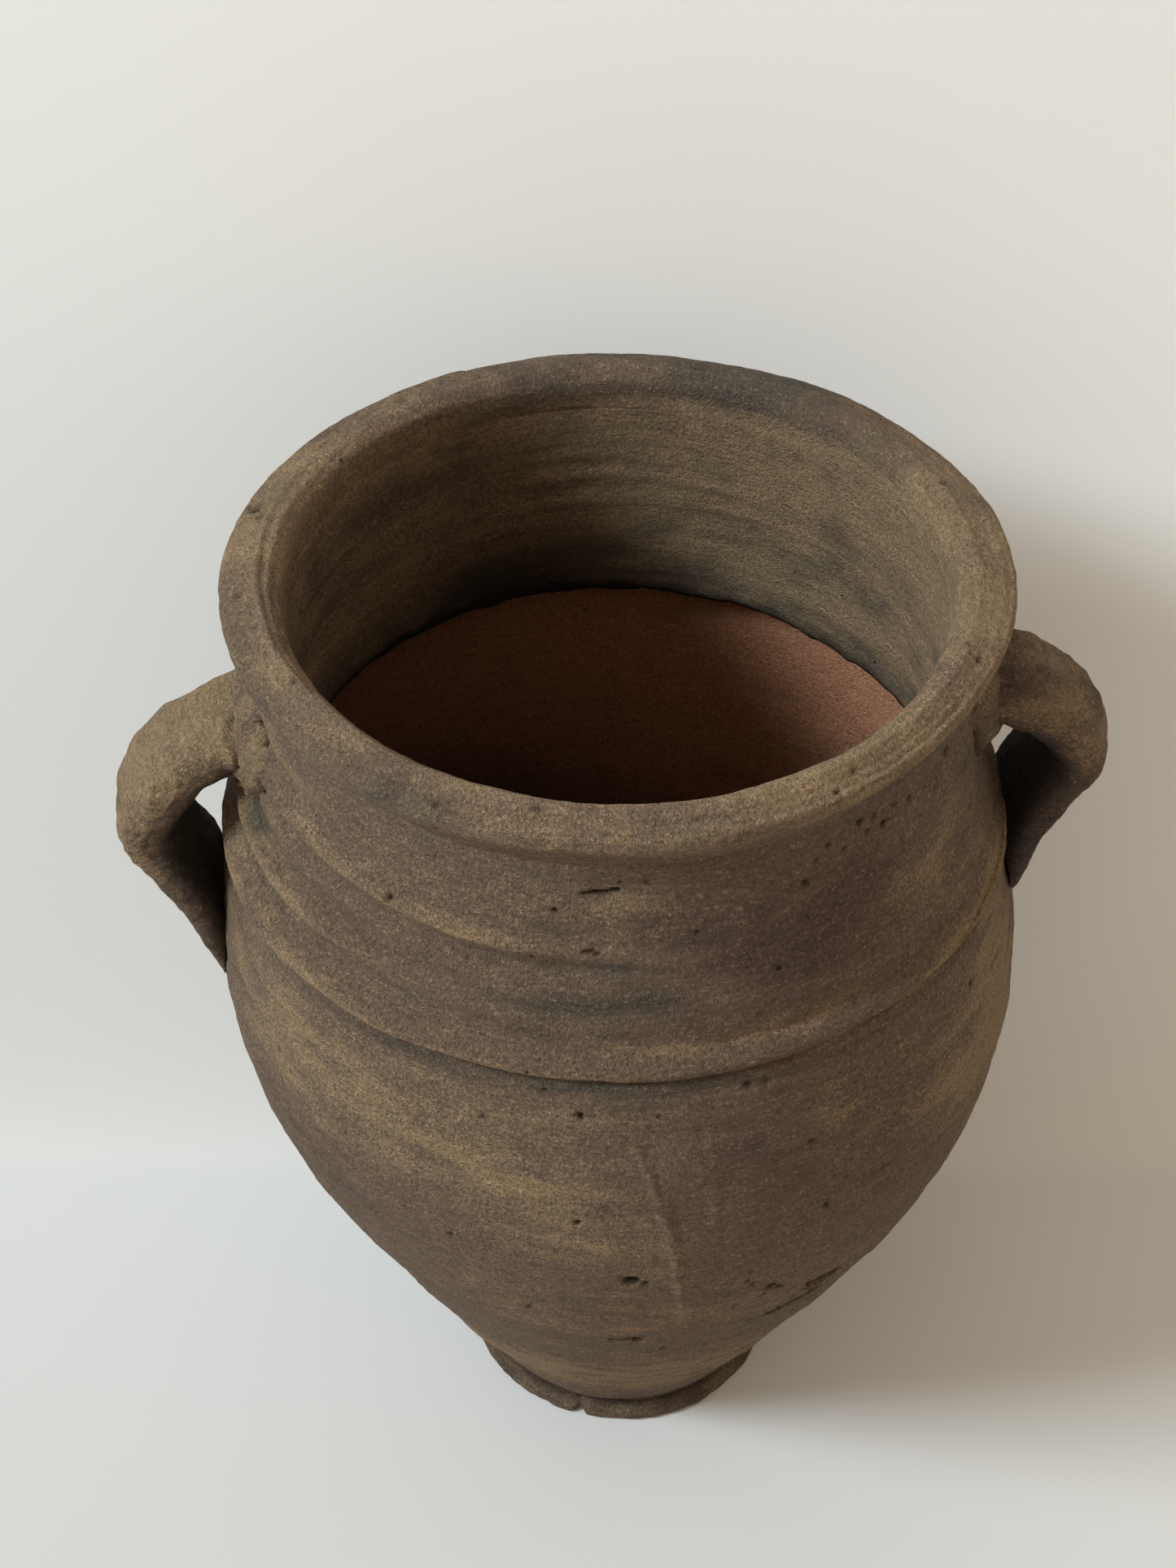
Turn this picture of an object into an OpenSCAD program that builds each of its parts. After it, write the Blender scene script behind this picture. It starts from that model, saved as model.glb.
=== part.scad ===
// Two-handled olive jar of coarse fired clay, thrown in sections and luted together.
// Millimetres. The origin is the middle of the resting face, +Z is up, and the
// right-hand handle stands on +X.

/* [Foot] */
// Outer diameter of the flange that the jar stands on
foot_d = 107; // [100:1:140]
// How far the flange stands out past the wall above it
foot_out = 4.5; // [2:0.5:9]
// Height of the flange's rounded edge
foot_edge_h = 4.5; // [3:0.5:6]
// Height of the crease where the flange meets the wall
foot_h = 7; // [6.5:0.5:14]
// How far the floor's plug rises inside the lower wall, above the crease
floor_rise = 6; // [4:0.5:12]

/* [Lower wall and belly] */
// Height of the lower wall, from the crease to the seam under the belly
cone_h = 113; // [95:1:130]
// How much narrower the wall is at that seam than at the belly's widest, on each side
seam_in = 17; // [12:0.5:21]
// Lean of the wall out of the upright just above the foot, in degrees
foot_flare = 25; // [15:1:32]
// Lean of the wall at the seam, in degrees
seam_flare = 21; // [14:1:26]
// Height of the belly's wall, from the seam to the crease under the bead
belly_h = 129; // [112:1:155]
// Height of the belly's widest place above the seam
belly_rise = 72; // [55:1:90]
// How far the belly's widest place stands out past its wall at that crease
belly_out = 9; // [5:0.5:20]
// Lean of the wall inwards at that crease, in degrees
shoulder_lean = 12; // [5:1:20]
// Thickness of the lower wall just above the foot
foot_wall_t = 12; // [9:0.5:15]
// Thickness of the belly's wall
wall_t = 9; // [7:0.5:11]

/* [Neck] */
// Height of the collar, from the crease under the bead to the lip band
neck_h = 61; // [50:1:90]
// Thickness of the neck's wall under the lip band
neck_t = 6.75; // [5:0.25:10]
// Lean of the neck just under the lip band, in degrees
neck_lean = 5; // [0:1:12]
// Lean of the collar just above the bead, in degrees
collar_lean = 19; // [12:1:28]
// Height of the bead round the shoulder
bead_h = 6.5; // [4:0.5:9]
// How far the bead stands out of the collar
bead_out = 1.8; // [1:0.1:3]
// How far the collar has widened just above the bead, past the neck under the lip band
collar_out = 12; // [9:0.5:14]
// How far the belly's wall at the crease stands out past the collar just above the bead
crease_out = 2; // [0.5:0.25:4]
// Inner diameter of the neck under the lip
mouth_d = 168; // [140:1:195]
// How far the collar's lower edge inside lies out past the mouth
throat_out = 6; // [1:0.5:7]
// How far that lower edge hangs below the crease
throat_drop = 5; // [2:0.5:8]

/* [Lip] */
// Width of the lip, from the mouth to its outer edge
rim_w = 16; // [13:0.5:24]
// Height of the lip band, from the neck's edge to the crest
rim_h = 16; // [14:0.5:20]
// Lean of the band's underside where it leaves the neck, in degrees
under_lean = 36; // [20:1:50]
// Radius of the lip's outer edge
lip_outer_r = 2.5; // [1.5:0.1:4]
// Radius of the lip's inner edge
lip_inner_r = 5.5; // [3:0.5:7]
// Fall of the lip's top, from its crest near the mouth to its outer edge
lip_fall = 2.8; // [0.5:0.1:4]

/* [Luted joints] */
// Film of slip between pieces that are luted together
slip_t = 0.2; // [0.1:0.05:0.3]
// Height of the belly's tongue in the collar's groove
tongue_h = 4.5; // [3:0.5:6]
// Thickness of that tongue at its top
tongue_t = 4; // [3:0.5:5]
// Rise of the bevelled seam between lower wall and belly, from outside to inside
seam_bevel = 5; // [2:0.5:8]
// Rise of the bevelled seam between neck and lip band, from outside to inside
lip_bevel = 4; // [2:0.5:5]

/* [Handles] */
// How far the middle of the right strap, at its outermost, stands out past the belly's widest
right_out = 8.75; // [5.5:0.25:26]
// The same distance for the left strap
left_out = 12.25; // [5.5:0.25:26]
// Width of the strap
handle_w = 35; // [26:1:42]
// Thickness of the strap
handle_t = 16; // [10:0.5:18]
// Width of the upper end where it spreads on its wad
root_w = 38; // [34:1:48]
// Thickness of the upper end
root_t = 16.5; // [13:0.5:20]
// Width of the lower end pressed on the belly
tail_w = 38; // [26:1:42]
// Thickness of the lower end
tail_t = 9; // [6:0.5:12]
// Depth of the right strap's upper end below the lip's top
right_root_drop = 38; // [34:1:44]
// Depth of the left strap's upper end below the lip's top
left_root_drop = 43; // [34:1:46]
// Rise of the right strap where it leaves the neck, in degrees
right_rise = 0; // [-25:1:15]
// Rise of the left strap where it leaves the neck, in degrees
left_rise = -20; // [-25:1:15]
// Depth of the right strap's outermost place below the lip's top
right_bow_drop = 56; // [50:1:66]
// Depth of the left strap's outermost place below the lip's top
left_bow_drop = 70; // [60:1:76]
// Depth of the right strap's lower end below the lip's top
right_tail_drop = 107; // [98:1:120]
// Depth of the left strap's lower end below the lip's top
left_tail_drop = 128; // [116:1:140]
// Turn of the left handle round the jar from straight opposite, in degrees
left_turn = 7.5; // [0:0.5:12]
// Thickness of the wad of clay that beds the upper end on the neck
wad_t = 5; // [3:0.5:8]
// How far the wad spreads past the strap's upper end all round
wad_spread = 4; // [2:0.5:6]

/* [Hidden] */

// Heights of the floor and the seams, from the resting face up
floor_z = foot_h + floor_rise;
seam_z = foot_h + cone_h;
widest_z = seam_z + belly_rise;
crease_z = seam_z + belly_h;
bead_top_z = crease_z + bead_h;
neck_top_z = crease_z + neck_h;
rim_z = neck_top_z + rim_h;
throat_z = crease_z - throat_drop;

// Diameters, worked out from the mouth outwards and from the belly down
rim_d = mouth_d + 2 * rim_w;
neck_d = mouth_d + 2 * neck_t;
throat_d = mouth_d + 2 * throat_out;
collar_d = neck_d + 2 * collar_out;
shoulder_d = collar_d + 2 * crease_out;
belly_d = shoulder_d + 2 * belly_out;
seam_d = belly_d - 2 * seam_in;

// Steps of the turned outlines, and clay colours from dark to light
wall_step = 5;
arc_steps = 6;
brown = [0.45, 0.38, 0.30];
earth = [0.50, 0.42, 0.33];
ochre = [0.58, 0.50, 0.38];
umber = [0.42, 0.35, 0.28];

// Knots of the outer wall: height, radius, and slope of the radius with height
foot_knot = [foot_h, foot_d / 2 - foot_out, tan(foot_flare)];
seam_knot = [seam_z, seam_d / 2, tan(seam_flare)];
widest_knot = [widest_z, belly_d / 2, 0];
crease_knot = [crease_z, shoulder_d / 2, -tan(shoulder_lean)];
collar_knot = [bead_top_z, collar_d / 2, -tan(collar_lean)];
neck_knot = [neck_top_z, neck_d / 2, -tan(neck_lean)];

// Smooth curve between two knots, with their radii and slopes at its ends
function smooth(z, a, b) =
    let (h = b[0] - a[0], t = (z - a[0]) / h)
    (2 * t ^ 3 - 3 * t ^ 2 + 1) * a[1] + (t ^ 3 - 2 * t ^ 2 + t) * h * a[2]
    + (3 * t ^ 2 - 2 * t ^ 3) * b[1] + (t ^ 3 - t ^ 2) * h * b[2];

// Share of the way from a to b, held between 0 and 1
function share(x, a, b) = min(1, max(0, (x - a) / (b - a)));

// Outer radius of the bead: the collar's foot with a half wave added
function bead_r(z) =
    let (s = share(z, crease_z, bead_top_z))
    crease_knot[1] + (collar_knot[1] - crease_knot[1]) * s + bead_out * sin(180 * s);

// Outer radius of the jar's wall at height z
function outer_r(z) =
    z < seam_z ? smooth(z, foot_knot, seam_knot)
    : z < widest_z ? smooth(z, seam_knot, widest_knot)
    : z < crease_z ? smooth(z, widest_knot, crease_knot)
    : z < bead_top_z ? bead_r(z)
    : smooth(z, collar_knot, neck_knot);

// Inner radius below the collar: the wall thins from the foot to the seam
function inner_r(z) =
    outer_r(z) - wall_t - (foot_wall_t - wall_t) * (1 - share(z, foot_h, seam_z));

// Inner radius of the collar: it narrows from the throat, leaning in, to the mouth
throat_lean = 9;
function throat_r(z) =
    smooth(z, [throat_z, throat_d / 2, -tan(throat_lean)], [neck_top_z, mouth_d / 2, 0]);

// Heights from a to b, no further apart than one step
function heights(a, b, step = wall_step) =
    let (n = ceil((b - a) / step)) [for (i = [0 : n]) a + (b - a) * i / n];

// Points of an arc in the outline
function arc(centre, r, from, to) =
    [for (i = [0 : arc_steps])
        let (a = from + (to - from) * i / arc_steps) centre + r * [cos(a), sin(a)]];

function reversed(list) = [for (i = [len(list) - 1 : -1 : 0]) list[i]];

module turned(outline) {
    rotate_extrude($fn = 120) polygon(outline);
}

// Radius of the floor's plug inside the lower wall, and of the belly's tongue
plug_r = inner_r(foot_h) - slip_t;
tongue_in_r = inner_r(throat_z);
tongue_out_r = tongue_in_r + tongue_t;
tongue_top_z = crease_z + tongue_h;

// Slab that the jar stands on, with its flange and the floor's plug
module foot_disc() {
    r = foot_d / 2;
    e = foot_edge_h / 2;
    color(umber) turned(concat(
        [[0, 0]],
        arc([r - e, e], e, -90, 60),
        [[foot_knot[1], foot_h], [plug_r, foot_h], [plug_r, floor_z], [0, floor_z]]));
}

// Lower wall, set down over the floor's plug
module base_cone() {
    color(brown) turned(concat(
        [for (z = heights(foot_h, seam_z)) [outer_r(z), max(z, foot_h + slip_t)]],
        [for (z = reversed(heights(foot_h, seam_z + seam_bevel)))
            [inner_r(z), max(z, foot_h + slip_t)]]));
}

// Wide wall with the tongue that enters the collar's groove
module belly() {
    color(earth) turned(concat(
        [for (z = concat(heights(seam_z, widest_z), heights(widest_z, crease_z)))
            [outer_r(z), max(z, seam_z + slip_t)]],
        [[tongue_out_r, tongue_top_z], [tongue_in_r, tongue_top_z]],
        [for (z = reversed(heights(seam_z + seam_bevel, throat_z)))
            [inner_r(z), max(z, seam_z + seam_bevel + slip_t)]]));
}

// Neck and shoulder skirt, with the bead outside and the hanging edge inside
module neck_collar() {
    color(ochre) turned(concat(
        [for (z = heights(crease_z, bead_top_z, 1)) [bead_r(z), max(z, crease_z + slip_t)]],
        [for (z = heights(bead_top_z, neck_top_z)) [outer_r(z), z]],
        [[mouth_d / 2, neck_top_z + lip_bevel]],
        [for (z = reversed(heights(throat_z, neck_top_z))) [throat_r(z), z]],
        [[tongue_in_r - slip_t, throat_z],
         [tongue_in_r - slip_t, tongue_top_z + slip_t],
         [tongue_out_r + slip_t, tongue_top_z + slip_t]]));
}

// Rolled lip on the neck's bevelled edge
module rim_band() {
    edge = [rim_d / 2 - lip_outer_r, rim_z - lip_fall - lip_outer_r];
    crest = [mouth_d / 2 + lip_inner_r, rim_z - lip_inner_r];
    under = [neck_top_z + slip_t, neck_d / 2, tan(under_lean)];
    widest = [edge[1], rim_d / 2, 0];
    fall = atan2(lip_fall, edge[0] - crest[0]);
    color(ochre) turned(concat(
        [for (z = heights(under[0], edge[1], 1)) [smooth(z, under, widest), z]],
        arc(edge, lip_outer_r, 0, 90 - fall),
        arc(crest, lip_inner_r, 90 - fall, 180),
        [[mouth_d / 2, neck_top_z + lip_bevel + slip_t]]));
}

// Handle straps: rings of points along a bent path, and the count of points in each
ring_points = 24;
upper_rings = 16;
lower_rings = 22;
cap_rings = 4;
// Least thickness that the pressed tail keeps
tail_film = 1.6;
// How far each bend of the path holds the direction it starts or ends with
root_pull = 11;
bow_pull_up = 8;
bow_pull_down = 13;
tail_pull = 38;
// Shares of the way at which the upper end has narrowed and the lower end starts
root_end = 0.3;
tail_start = 0.7;
// Below 1 a section is fuller than an oval
section_power = 0.83;
// Rings of a wad from its middle to its edge, and how thick its edge is
wad_rings = 6;
wad_edge_t = 1;

function bend(p, t) =
    p[0] * (1 - t) ^ 3 + p[1] * 3 * t * (1 - t) ^ 2 + p[2] * 3 * t ^ 2 * (1 - t) + p[3] * t ^ 3;
function bend_way(p, t) =
    let (d = (p[1] - p[0]) * (1 - t) ^ 2 + (p[2] - p[1]) * 2 * t * (1 - t) + (p[3] - p[2]) * t ^ 2)
    d / norm(d);

// Path of a strap in radius and height: over from the wad, then down to the belly
function upper_bend(bow, root_z, rise) =
    let (root = [outer_r(root_z) + wad_t + 2 * slip_t, root_z])
    [root, root + root_pull * [cos(rise), sin(rise)], bow + [0, bow_pull_up], bow];
function lower_bend(bow, tail_z) =
    let (tail = [outer_r(tail_z) - tail_t / 4, tail_z])
    [bow, bow - [0, bow_pull_down], tail + [0, tail_pull], tail];

// Stations along a strap: point, direction, and share of the way from end to end
function stations(bow, root_z, rise, tail_z) =
    let (u = upper_bend(bow, root_z, rise), d = lower_bend(bow, tail_z),
         n = upper_rings + lower_rings)
    [for (i = [0 : n])
        i < upper_rings
        ? [bend(u, i / upper_rings), bend_way(u, i / upper_rings), i / n]
        : let (t = (i - upper_rings) / lower_rings) [bend(d, t), bend_way(d, t), i / n]];

// Width and thickness of a strap at a share of its way
function strap_w(s) = root_w + (handle_w - root_w) * share(s, 0, root_end)
    + (tail_w - handle_w) * share(s, tail_start, 1);
function strap_t(s) = root_t + (handle_t - root_t) * share(s, 0, root_end)
    + (tail_t - handle_t) * share(s, tail_start, 1);

// Rounded oval section: each side of the circle is pushed out towards a square
function fuller(x) = sign(x) * abs(x) ^ section_power;
function oval(i) = let (a = 360 * i / ring_points) [fuller(cos(a)), fuller(sin(a))];

// A point moved out along its own radius until it clears the wall by a gap
function cleared(x, y, z, gap) =
    let (r = norm([x, y]), k = max(1, (outer_r(z) + gap) / r)) [x * k, y * k, z];

// A point on the wall's surface, a gap outside it, at a distance y to the side
function on_wall(y, z, gap) = [sqrt((outer_r(z) + gap) ^ 2 - y ^ 2), y, z];

// One ring of a strap: the first one lies on the wad, the others down to the bow clear
// it, and those below the bow are pressed thin against the wall
function strap_ring(st, k) =
    let (c = st[0], way = st[1], w = strap_w(st[2]) / 2, t = strap_t(st[2]) / 2)
    [for (i = [0 : ring_points - 1])
        let (o = oval(i), x = c[0] - way[1] * t * o[1], z = c[1] + way[0] * t * o[1])
        k == 0 ? on_wall(w * o[0], z, wad_t + 2 * slip_t)
        : cleared(x, w * o[0], z, k < upper_rings ? wad_t + 2 * slip_t
                                  : slip_t + tail_film * (1 + o[1]) / 2)];

// Rings that close the upper end against the wad, each smaller than the last
function cap_ring(st, k) =
    [for (i = [0 : ring_points - 1])
        on_wall(k * strap_w(0) / 2 * oval(i)[0],
                st[0][1] + k * strap_t(0) / 2 * oval(i)[1] * st[1][0], wad_t + 2 * slip_t)];

// Triangles between two rings of n points, and a fan from a ring to a middle point
function band(a, b, n) =
    [for (i = [0 : n - 1]) let (j = (i + 1) % n) each [[a + i, b + j, a + j], [a + i, b + i, b + j]]];
function fan(a, middle, n) = [for (i = [0 : n - 1]) [middle, a + i, a + (i + 1) % n]];

module strap(reach, root_drop, rise, bow_drop, tail_drop) {
    n = ring_points;
    st = stations([reach, rim_z - bow_drop], rim_z - root_drop, rise, rim_z - tail_drop);
    caps = [for (k = [1 : cap_rings - 1]) cap_ring(st[0], k / cap_rings)];
    rings = concat(caps, [for (k = [0 : len(st) - 1]) strap_ring(st[k], k)]);
    last = st[len(st) - 1];
    points = concat(
        [for (ring = rings) each ring],
        [on_wall(0, st[0][0][1], wad_t + 2 * slip_t),
         cleared(last[0][0], 0, last[0][1], slip_t + tail_film / 2)]);
    count = len(rings);
    polyhedron(points, concat(
        fan(0, count * n + 0, n),
        [for (k = [0 : count - 2]) each band(k * n, (k + 1) * n, n)],
        [for (f = fan((count - 1) * n, count * n + 1, n)) [f[0], f[2], f[1]]]));
}

// Thickness of the wad at a share of the way from its middle to its edge: level as far
// as the strap's end covers it, then a quarter wave down to the edge
function pad_t(s, covered) =
    s <= covered ? wad_t
    : wad_edge_t + (wad_t - wad_edge_t) * cos(90 * (s - covered) / (1 - covered));

// Wad of clay: an oval pad on the neck that spreads past the strap's upper end
module wad(root_drop) {
    n = ring_points;
    root_z = rim_z - root_drop;
    half_w = root_w / 2 + wad_spread;
    half_t = root_t / 2 + wad_spread;
    covered = root_w / 2 / half_w;
    level = wad_rings - 2;
    shares = concat([for (k = [1 : level]) covered * k / level], [(1 + covered) / 2, 1]);
    outer = [for (s = shares) each [for (i = [0 : n - 1])
        on_wall(s * half_w * oval(i)[0], root_z + s * half_t * oval(i)[1],
                slip_t + pad_t(s, covered))]];
    inner = [for (s = shares) each [for (i = [0 : n - 1])
        on_wall(s * half_w * oval(i)[0], root_z + s * half_t * oval(i)[1], slip_t)]];
    back = wad_rings * n;
    polyhedron(
        concat(outer, inner, [on_wall(0, root_z, slip_t + wad_t), on_wall(0, root_z, slip_t)]),
        concat(
            [for (f = fan(0, 2 * back, n)) [f[0], f[2], f[1]]],
            [for (k = [0 : wad_rings - 2]) each band((k + 1) * n, k * n, n)],
            band(2 * back - n, back - n, n),
            [for (k = [0 : wad_rings - 2]) each band(back + k * n, back + (k + 1) * n, n)],
            fan(back, 2 * back + 1, n)));
}

module handle_right() {
    color(earth) strap(belly_d / 2 + right_out, right_root_drop, right_rise, right_bow_drop,
                       right_tail_drop);
}

module handle_left() {
    color(earth) rotate([0, 0, 180 + left_turn])
        strap(belly_d / 2 + left_out, left_root_drop, left_rise, left_bow_drop, left_tail_drop);
}

module root_wad_right() {
    color(brown) wad(right_root_drop);
}

module root_wad_left() {
    color(brown) rotate([0, 0, 180 + left_turn]) wad(left_root_drop);
}

foot_disc();
base_cone();
belly();
neck_collar();
rim_band();
handle_left();
handle_right();
root_wad_left();
root_wad_right();
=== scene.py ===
"""Looks of a two-handled olive jar of coarse fired clay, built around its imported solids.

Every piece is a surface worked out with numpy in metres, in the frame of the solids: z up from the
resting face, the right handle on +X, the camera on the -Y side. A bearing is an angle in degrees
round the jar, 0 at the front (-Y) and 90 at the right (+X). Sizes in the lists of marks are in
millimetres and degrees, as a potter would read them off the jar.
"""
import math

import bpy
import numpy as np
from mathutils import Matrix, Vector


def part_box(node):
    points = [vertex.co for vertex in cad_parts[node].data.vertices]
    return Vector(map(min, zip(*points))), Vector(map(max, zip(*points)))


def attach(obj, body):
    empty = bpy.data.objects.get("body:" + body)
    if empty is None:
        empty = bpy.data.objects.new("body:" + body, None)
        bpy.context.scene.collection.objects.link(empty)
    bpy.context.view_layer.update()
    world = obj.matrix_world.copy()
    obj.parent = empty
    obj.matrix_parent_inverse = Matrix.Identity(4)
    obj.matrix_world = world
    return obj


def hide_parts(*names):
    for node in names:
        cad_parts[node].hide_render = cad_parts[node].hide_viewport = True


bl_info = {
    "name": "Olive jar",
    "version": (1, 0, 0),
    "blender": (4, 5, 0),
    "location": "3D View > Sidebar > Olive jar",
    "description": "Builds the clay surfaces, the stage and the camera of a two-handled olive jar",
    "category": "Add Mesh",
}

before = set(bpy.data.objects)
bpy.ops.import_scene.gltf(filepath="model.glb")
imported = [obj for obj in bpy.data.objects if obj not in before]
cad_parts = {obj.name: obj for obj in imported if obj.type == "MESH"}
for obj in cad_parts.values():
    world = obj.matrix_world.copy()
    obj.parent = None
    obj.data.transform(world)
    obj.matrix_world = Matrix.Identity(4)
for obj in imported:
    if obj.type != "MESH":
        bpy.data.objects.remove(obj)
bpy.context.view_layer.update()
MM = 0.001
BODY = "root"


def node_box(name):
    """Lowest and highest corner of a solid, in millimetres."""
    low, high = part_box(name)
    return np.array(low) / MM, np.array(high) / MM


FOOT_LOW, FOOT_HIGH = node_box("foot_disc")
CONE_LOW, CONE_HIGH = node_box("base_cone")
BELLY_LOW, BELLY_HIGH = node_box("belly")
COLLAR_LOW, COLLAR_HIGH = node_box("neck_collar")
LIP_LOW, LIP_HIGH = node_box("rim_band")


# ---------------------------------------------------------------- sizes and colours that a user may change

class JarSizes(bpy.types.PropertyGroup):
    rim_z: bpy.props.FloatProperty(
        name="Height", description="Height of the lip's crest, in millimetres",
        default=float(LIP_HIGH[2]))
    rim_d: bpy.props.FloatProperty(
        name="Lip diameter", description="Outer diameter of the lip, in millimetres",
        default=float(LIP_HIGH[0] - LIP_LOW[0]))
    belly_d: bpy.props.FloatProperty(
        name="Belly diameter", description="Largest diameter of the belly, in millimetres",
        default=227.5)
    foot_d: bpy.props.FloatProperty(
        name="Foot diameter", description="Diameter of the flange at the foot, in millimetres",
        default=107.0)
    grain: bpy.props.FloatProperty(
        name="Grain", description="Strength of the clay's modelled grain", default=1.0,
        min=0.0, max=3.0, subtype="FACTOR")


def srgb(r, g, b):
    """Linear colour of a display colour given from 0 to 255."""
    return tuple(((c / 255 + 0.055) / 1.055) ** 2.4 if c > 10 else c / 255 / 12.92 for c in (r, g, b))


class ClayColours(bpy.types.PropertyGroup):
    brown: bpy.props.FloatVectorProperty(
        name="Brown", description="Ground colour of the fired clay", subtype="COLOR",
        default=srgb(116, 97, 80), min=0, max=1)
    ochre: bpy.props.FloatVectorProperty(
        name="Ochre", description="Rubbed sandy patches", subtype="COLOR",
        default=srgb(153, 129, 97), min=0, max=1)
    soot: bpy.props.FloatVectorProperty(
        name="Soot", description="Grey green smoke marks", subtype="COLOR",
        default=srgb(75, 73, 63), min=0, max=1)
    umber: bpy.props.FloatVectorProperty(
        name="Umber", description="Purple brown patches", subtype="COLOR",
        default=srgb(96, 77, 67), min=0, max=1)
    terracotta: bpy.props.FloatVectorProperty(
        name="Terracotta", description="Clay of the inside of the belly", subtype="COLOR",
        default=srgb(214, 152, 113), min=0, max=1)
    paper: bpy.props.FloatVectorProperty(
        name="Paper", description="Pale paper under and behind the jar", subtype="COLOR",
        default=srgb(208, 208, 204), min=0, max=1)


# ---------------------------------------------------------------- curves and noise

def hermite(x, a, b):
    """Cubic between two knots (place, value, slope), by the usual four cubic weights."""
    h = b[0] - a[0]
    t = np.clip((x - a[0]) / h, 0, 1)
    return ((2 * t**3 - 3 * t**2 + 1) * a[1] + (t**3 - 2 * t**2 + t) * h * a[2]
            + (3 * t**2 - 2 * t**3) * b[1] + (t**3 - t**2) * h * b[2])


def through(x, knots):
    """Smooth curve through knots (place, value): cubic pieces whose slope at a knot is the mean
    of the slopes on its two sides."""
    k = np.array(knots, float)
    slope = np.gradient(k[:, 1], k[:, 0])
    x = np.clip(x, k[0, 0], k[-1, 0])
    out = np.full(np.shape(x), k[0, 1])
    for i in range(len(k) - 1):
        here = (x >= k[i, 0]) & (x <= k[i + 1, 0])
        out = np.where(here, hermite(x, (*k[i], slope[i]), (*k[i + 1], slope[i + 1])), out)
    return out


def step(x, low, high):
    """Smooth rise from 0 at low to 1 at high: 3 t^2 - 2 t^3."""
    t = np.clip((x - low) / (high - low), 0, 1)
    return t * t * (3 - 2 * t)


def waves(p, length, seed, count=36):
    """Seeded smooth noise of about -1 to 1 at points p: the mean of cosine waves of about one
    length in random directions of space, so that it runs on from piece to piece."""
    rng = np.random.default_rng(seed)
    way = rng.normal(size=(count, 3))
    way *= (2 * math.pi / (length * rng.uniform(0.7, 1.4, count)) / np.linalg.norm(way, axis=1))[:, None]
    phase = rng.uniform(0, 2 * math.pi, count)
    flat = p.reshape(-1, 3)
    total = np.zeros(len(flat))
    for k in range(count):
        total += np.cos(flat @ way[k] + phase[k])
    return (total / math.sqrt(2 * count)).reshape(p.shape[:-1])


# ---------------------------------------------------------------- the thrown wall

SEAM_Z, WIDEST_Z, CREASE_Z, BEAD_TOP_Z, NECK_TOP_Z = 120.0, 192.0, 249.0, 255.5, 310.0
THROAT_Z, THROAT_R, MOUTH_R = 244.0, 90.0, 84.0
FOOT_CREASE_Z, FLOOR_Z = 7.0, 13.0
BEAD_OUT = 1.0
# Knots of the outer wall: height, radius, slope of the radius
WALL = [(7.0, 49.0, 0.466), (120.0, 96.75, 0.384), (192.0, 113.75, 0.0), (249.0, 104.75, -0.2126),
        (255.5, 102.75, -0.344), (310.0, 90.75, -0.0875)]
# Sideways bow of the jar's axis with height
AXIS_BOW = [(0, 1.7), (56, 1.55), (121, 2.5), (188, 0.15), (247, -1.45), (326, -1.0)]
# Bearing and height of the shoulder's ridge, and how far the ridge stands out and its crease cuts in
RIDGE_Z = [(-180, 251.2), (-110, 251.2), (-70, 250.9), (-45, 250.3), (-20, 251.0), (0, 251.6), (20, 251.4),
           (42, 250.2), (62, 248.2), (90, 248.6), (140, 251.0), (180, 251.2)]
RIDGE_OUT = [(-180, 0.8), (-110, 0.7), (-84, 1.1), (-64, 2.5), (-45, 2.2), (-25, 1.2), (0, 0.7), (25, 0.8),
             (50, 1.9), (72, 2.4), (100, 1.2), (140, 0.8), (180, 0.8)]
RIDGE_SLOPE = [(-180, 3.6), (25, 3.6), (55, 1.7), (85, 1.7), (110, 3.6), (180, 3.6)]
CREASE_IN = [(-180, 0.6), (-80, 0.8), (-50, 1.0), (-25, 1.1), (0, 1.2), (25, 0.9), (50, 1.0), (75, 1.3), (180, 0.6)]


def wall_r(z):
    """Outer radius at height z: cubic pieces between the knots, and on the collar's foot a
    straight line with half a sine wave, the bead."""
    out = hermite(z, WALL[0], WALL[1])
    for a, b in zip(WALL[1:], WALL[2:]):
        out = np.where(z >= a[0], hermite(z, a, b), out)
    s = np.clip((z - CREASE_Z) / (BEAD_TOP_Z - CREASE_Z), 0, 1)
    bead = WALL[3][1] + (WALL[4][1] - WALL[3][1]) * s + BEAD_OUT * np.sin(math.pi * s)
    return np.where((z >= CREASE_Z) & (z < BEAD_TOP_Z), bead, out)


def inner_r(z):
    """Inner radius: the wall thins from 12 mm at the foot to 9 mm at the seam; inside the collar
    it narrows from the throat to the mouth."""
    return wall_r(np.minimum(z, CREASE_Z - 0.01)) - 9 - 3 * (1 - np.clip((z - 7) / 113, 0, 1))


def collar_inner_r(z):
    return hermite(z, (THROAT_Z, THROAT_R, -0.158), (NECK_TOP_Z, MOUTH_R, 0.0))


def bearing(p):
    """Angle round the jar in degrees, 0 at the front and 90 at the right."""
    return np.degrees(np.arctan2(p[..., 0], -p[..., 1]))


def around(a, b):
    """Difference of two bearings, from -180 to 180."""
    return (a - b + 180) % 360 - 180


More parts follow.
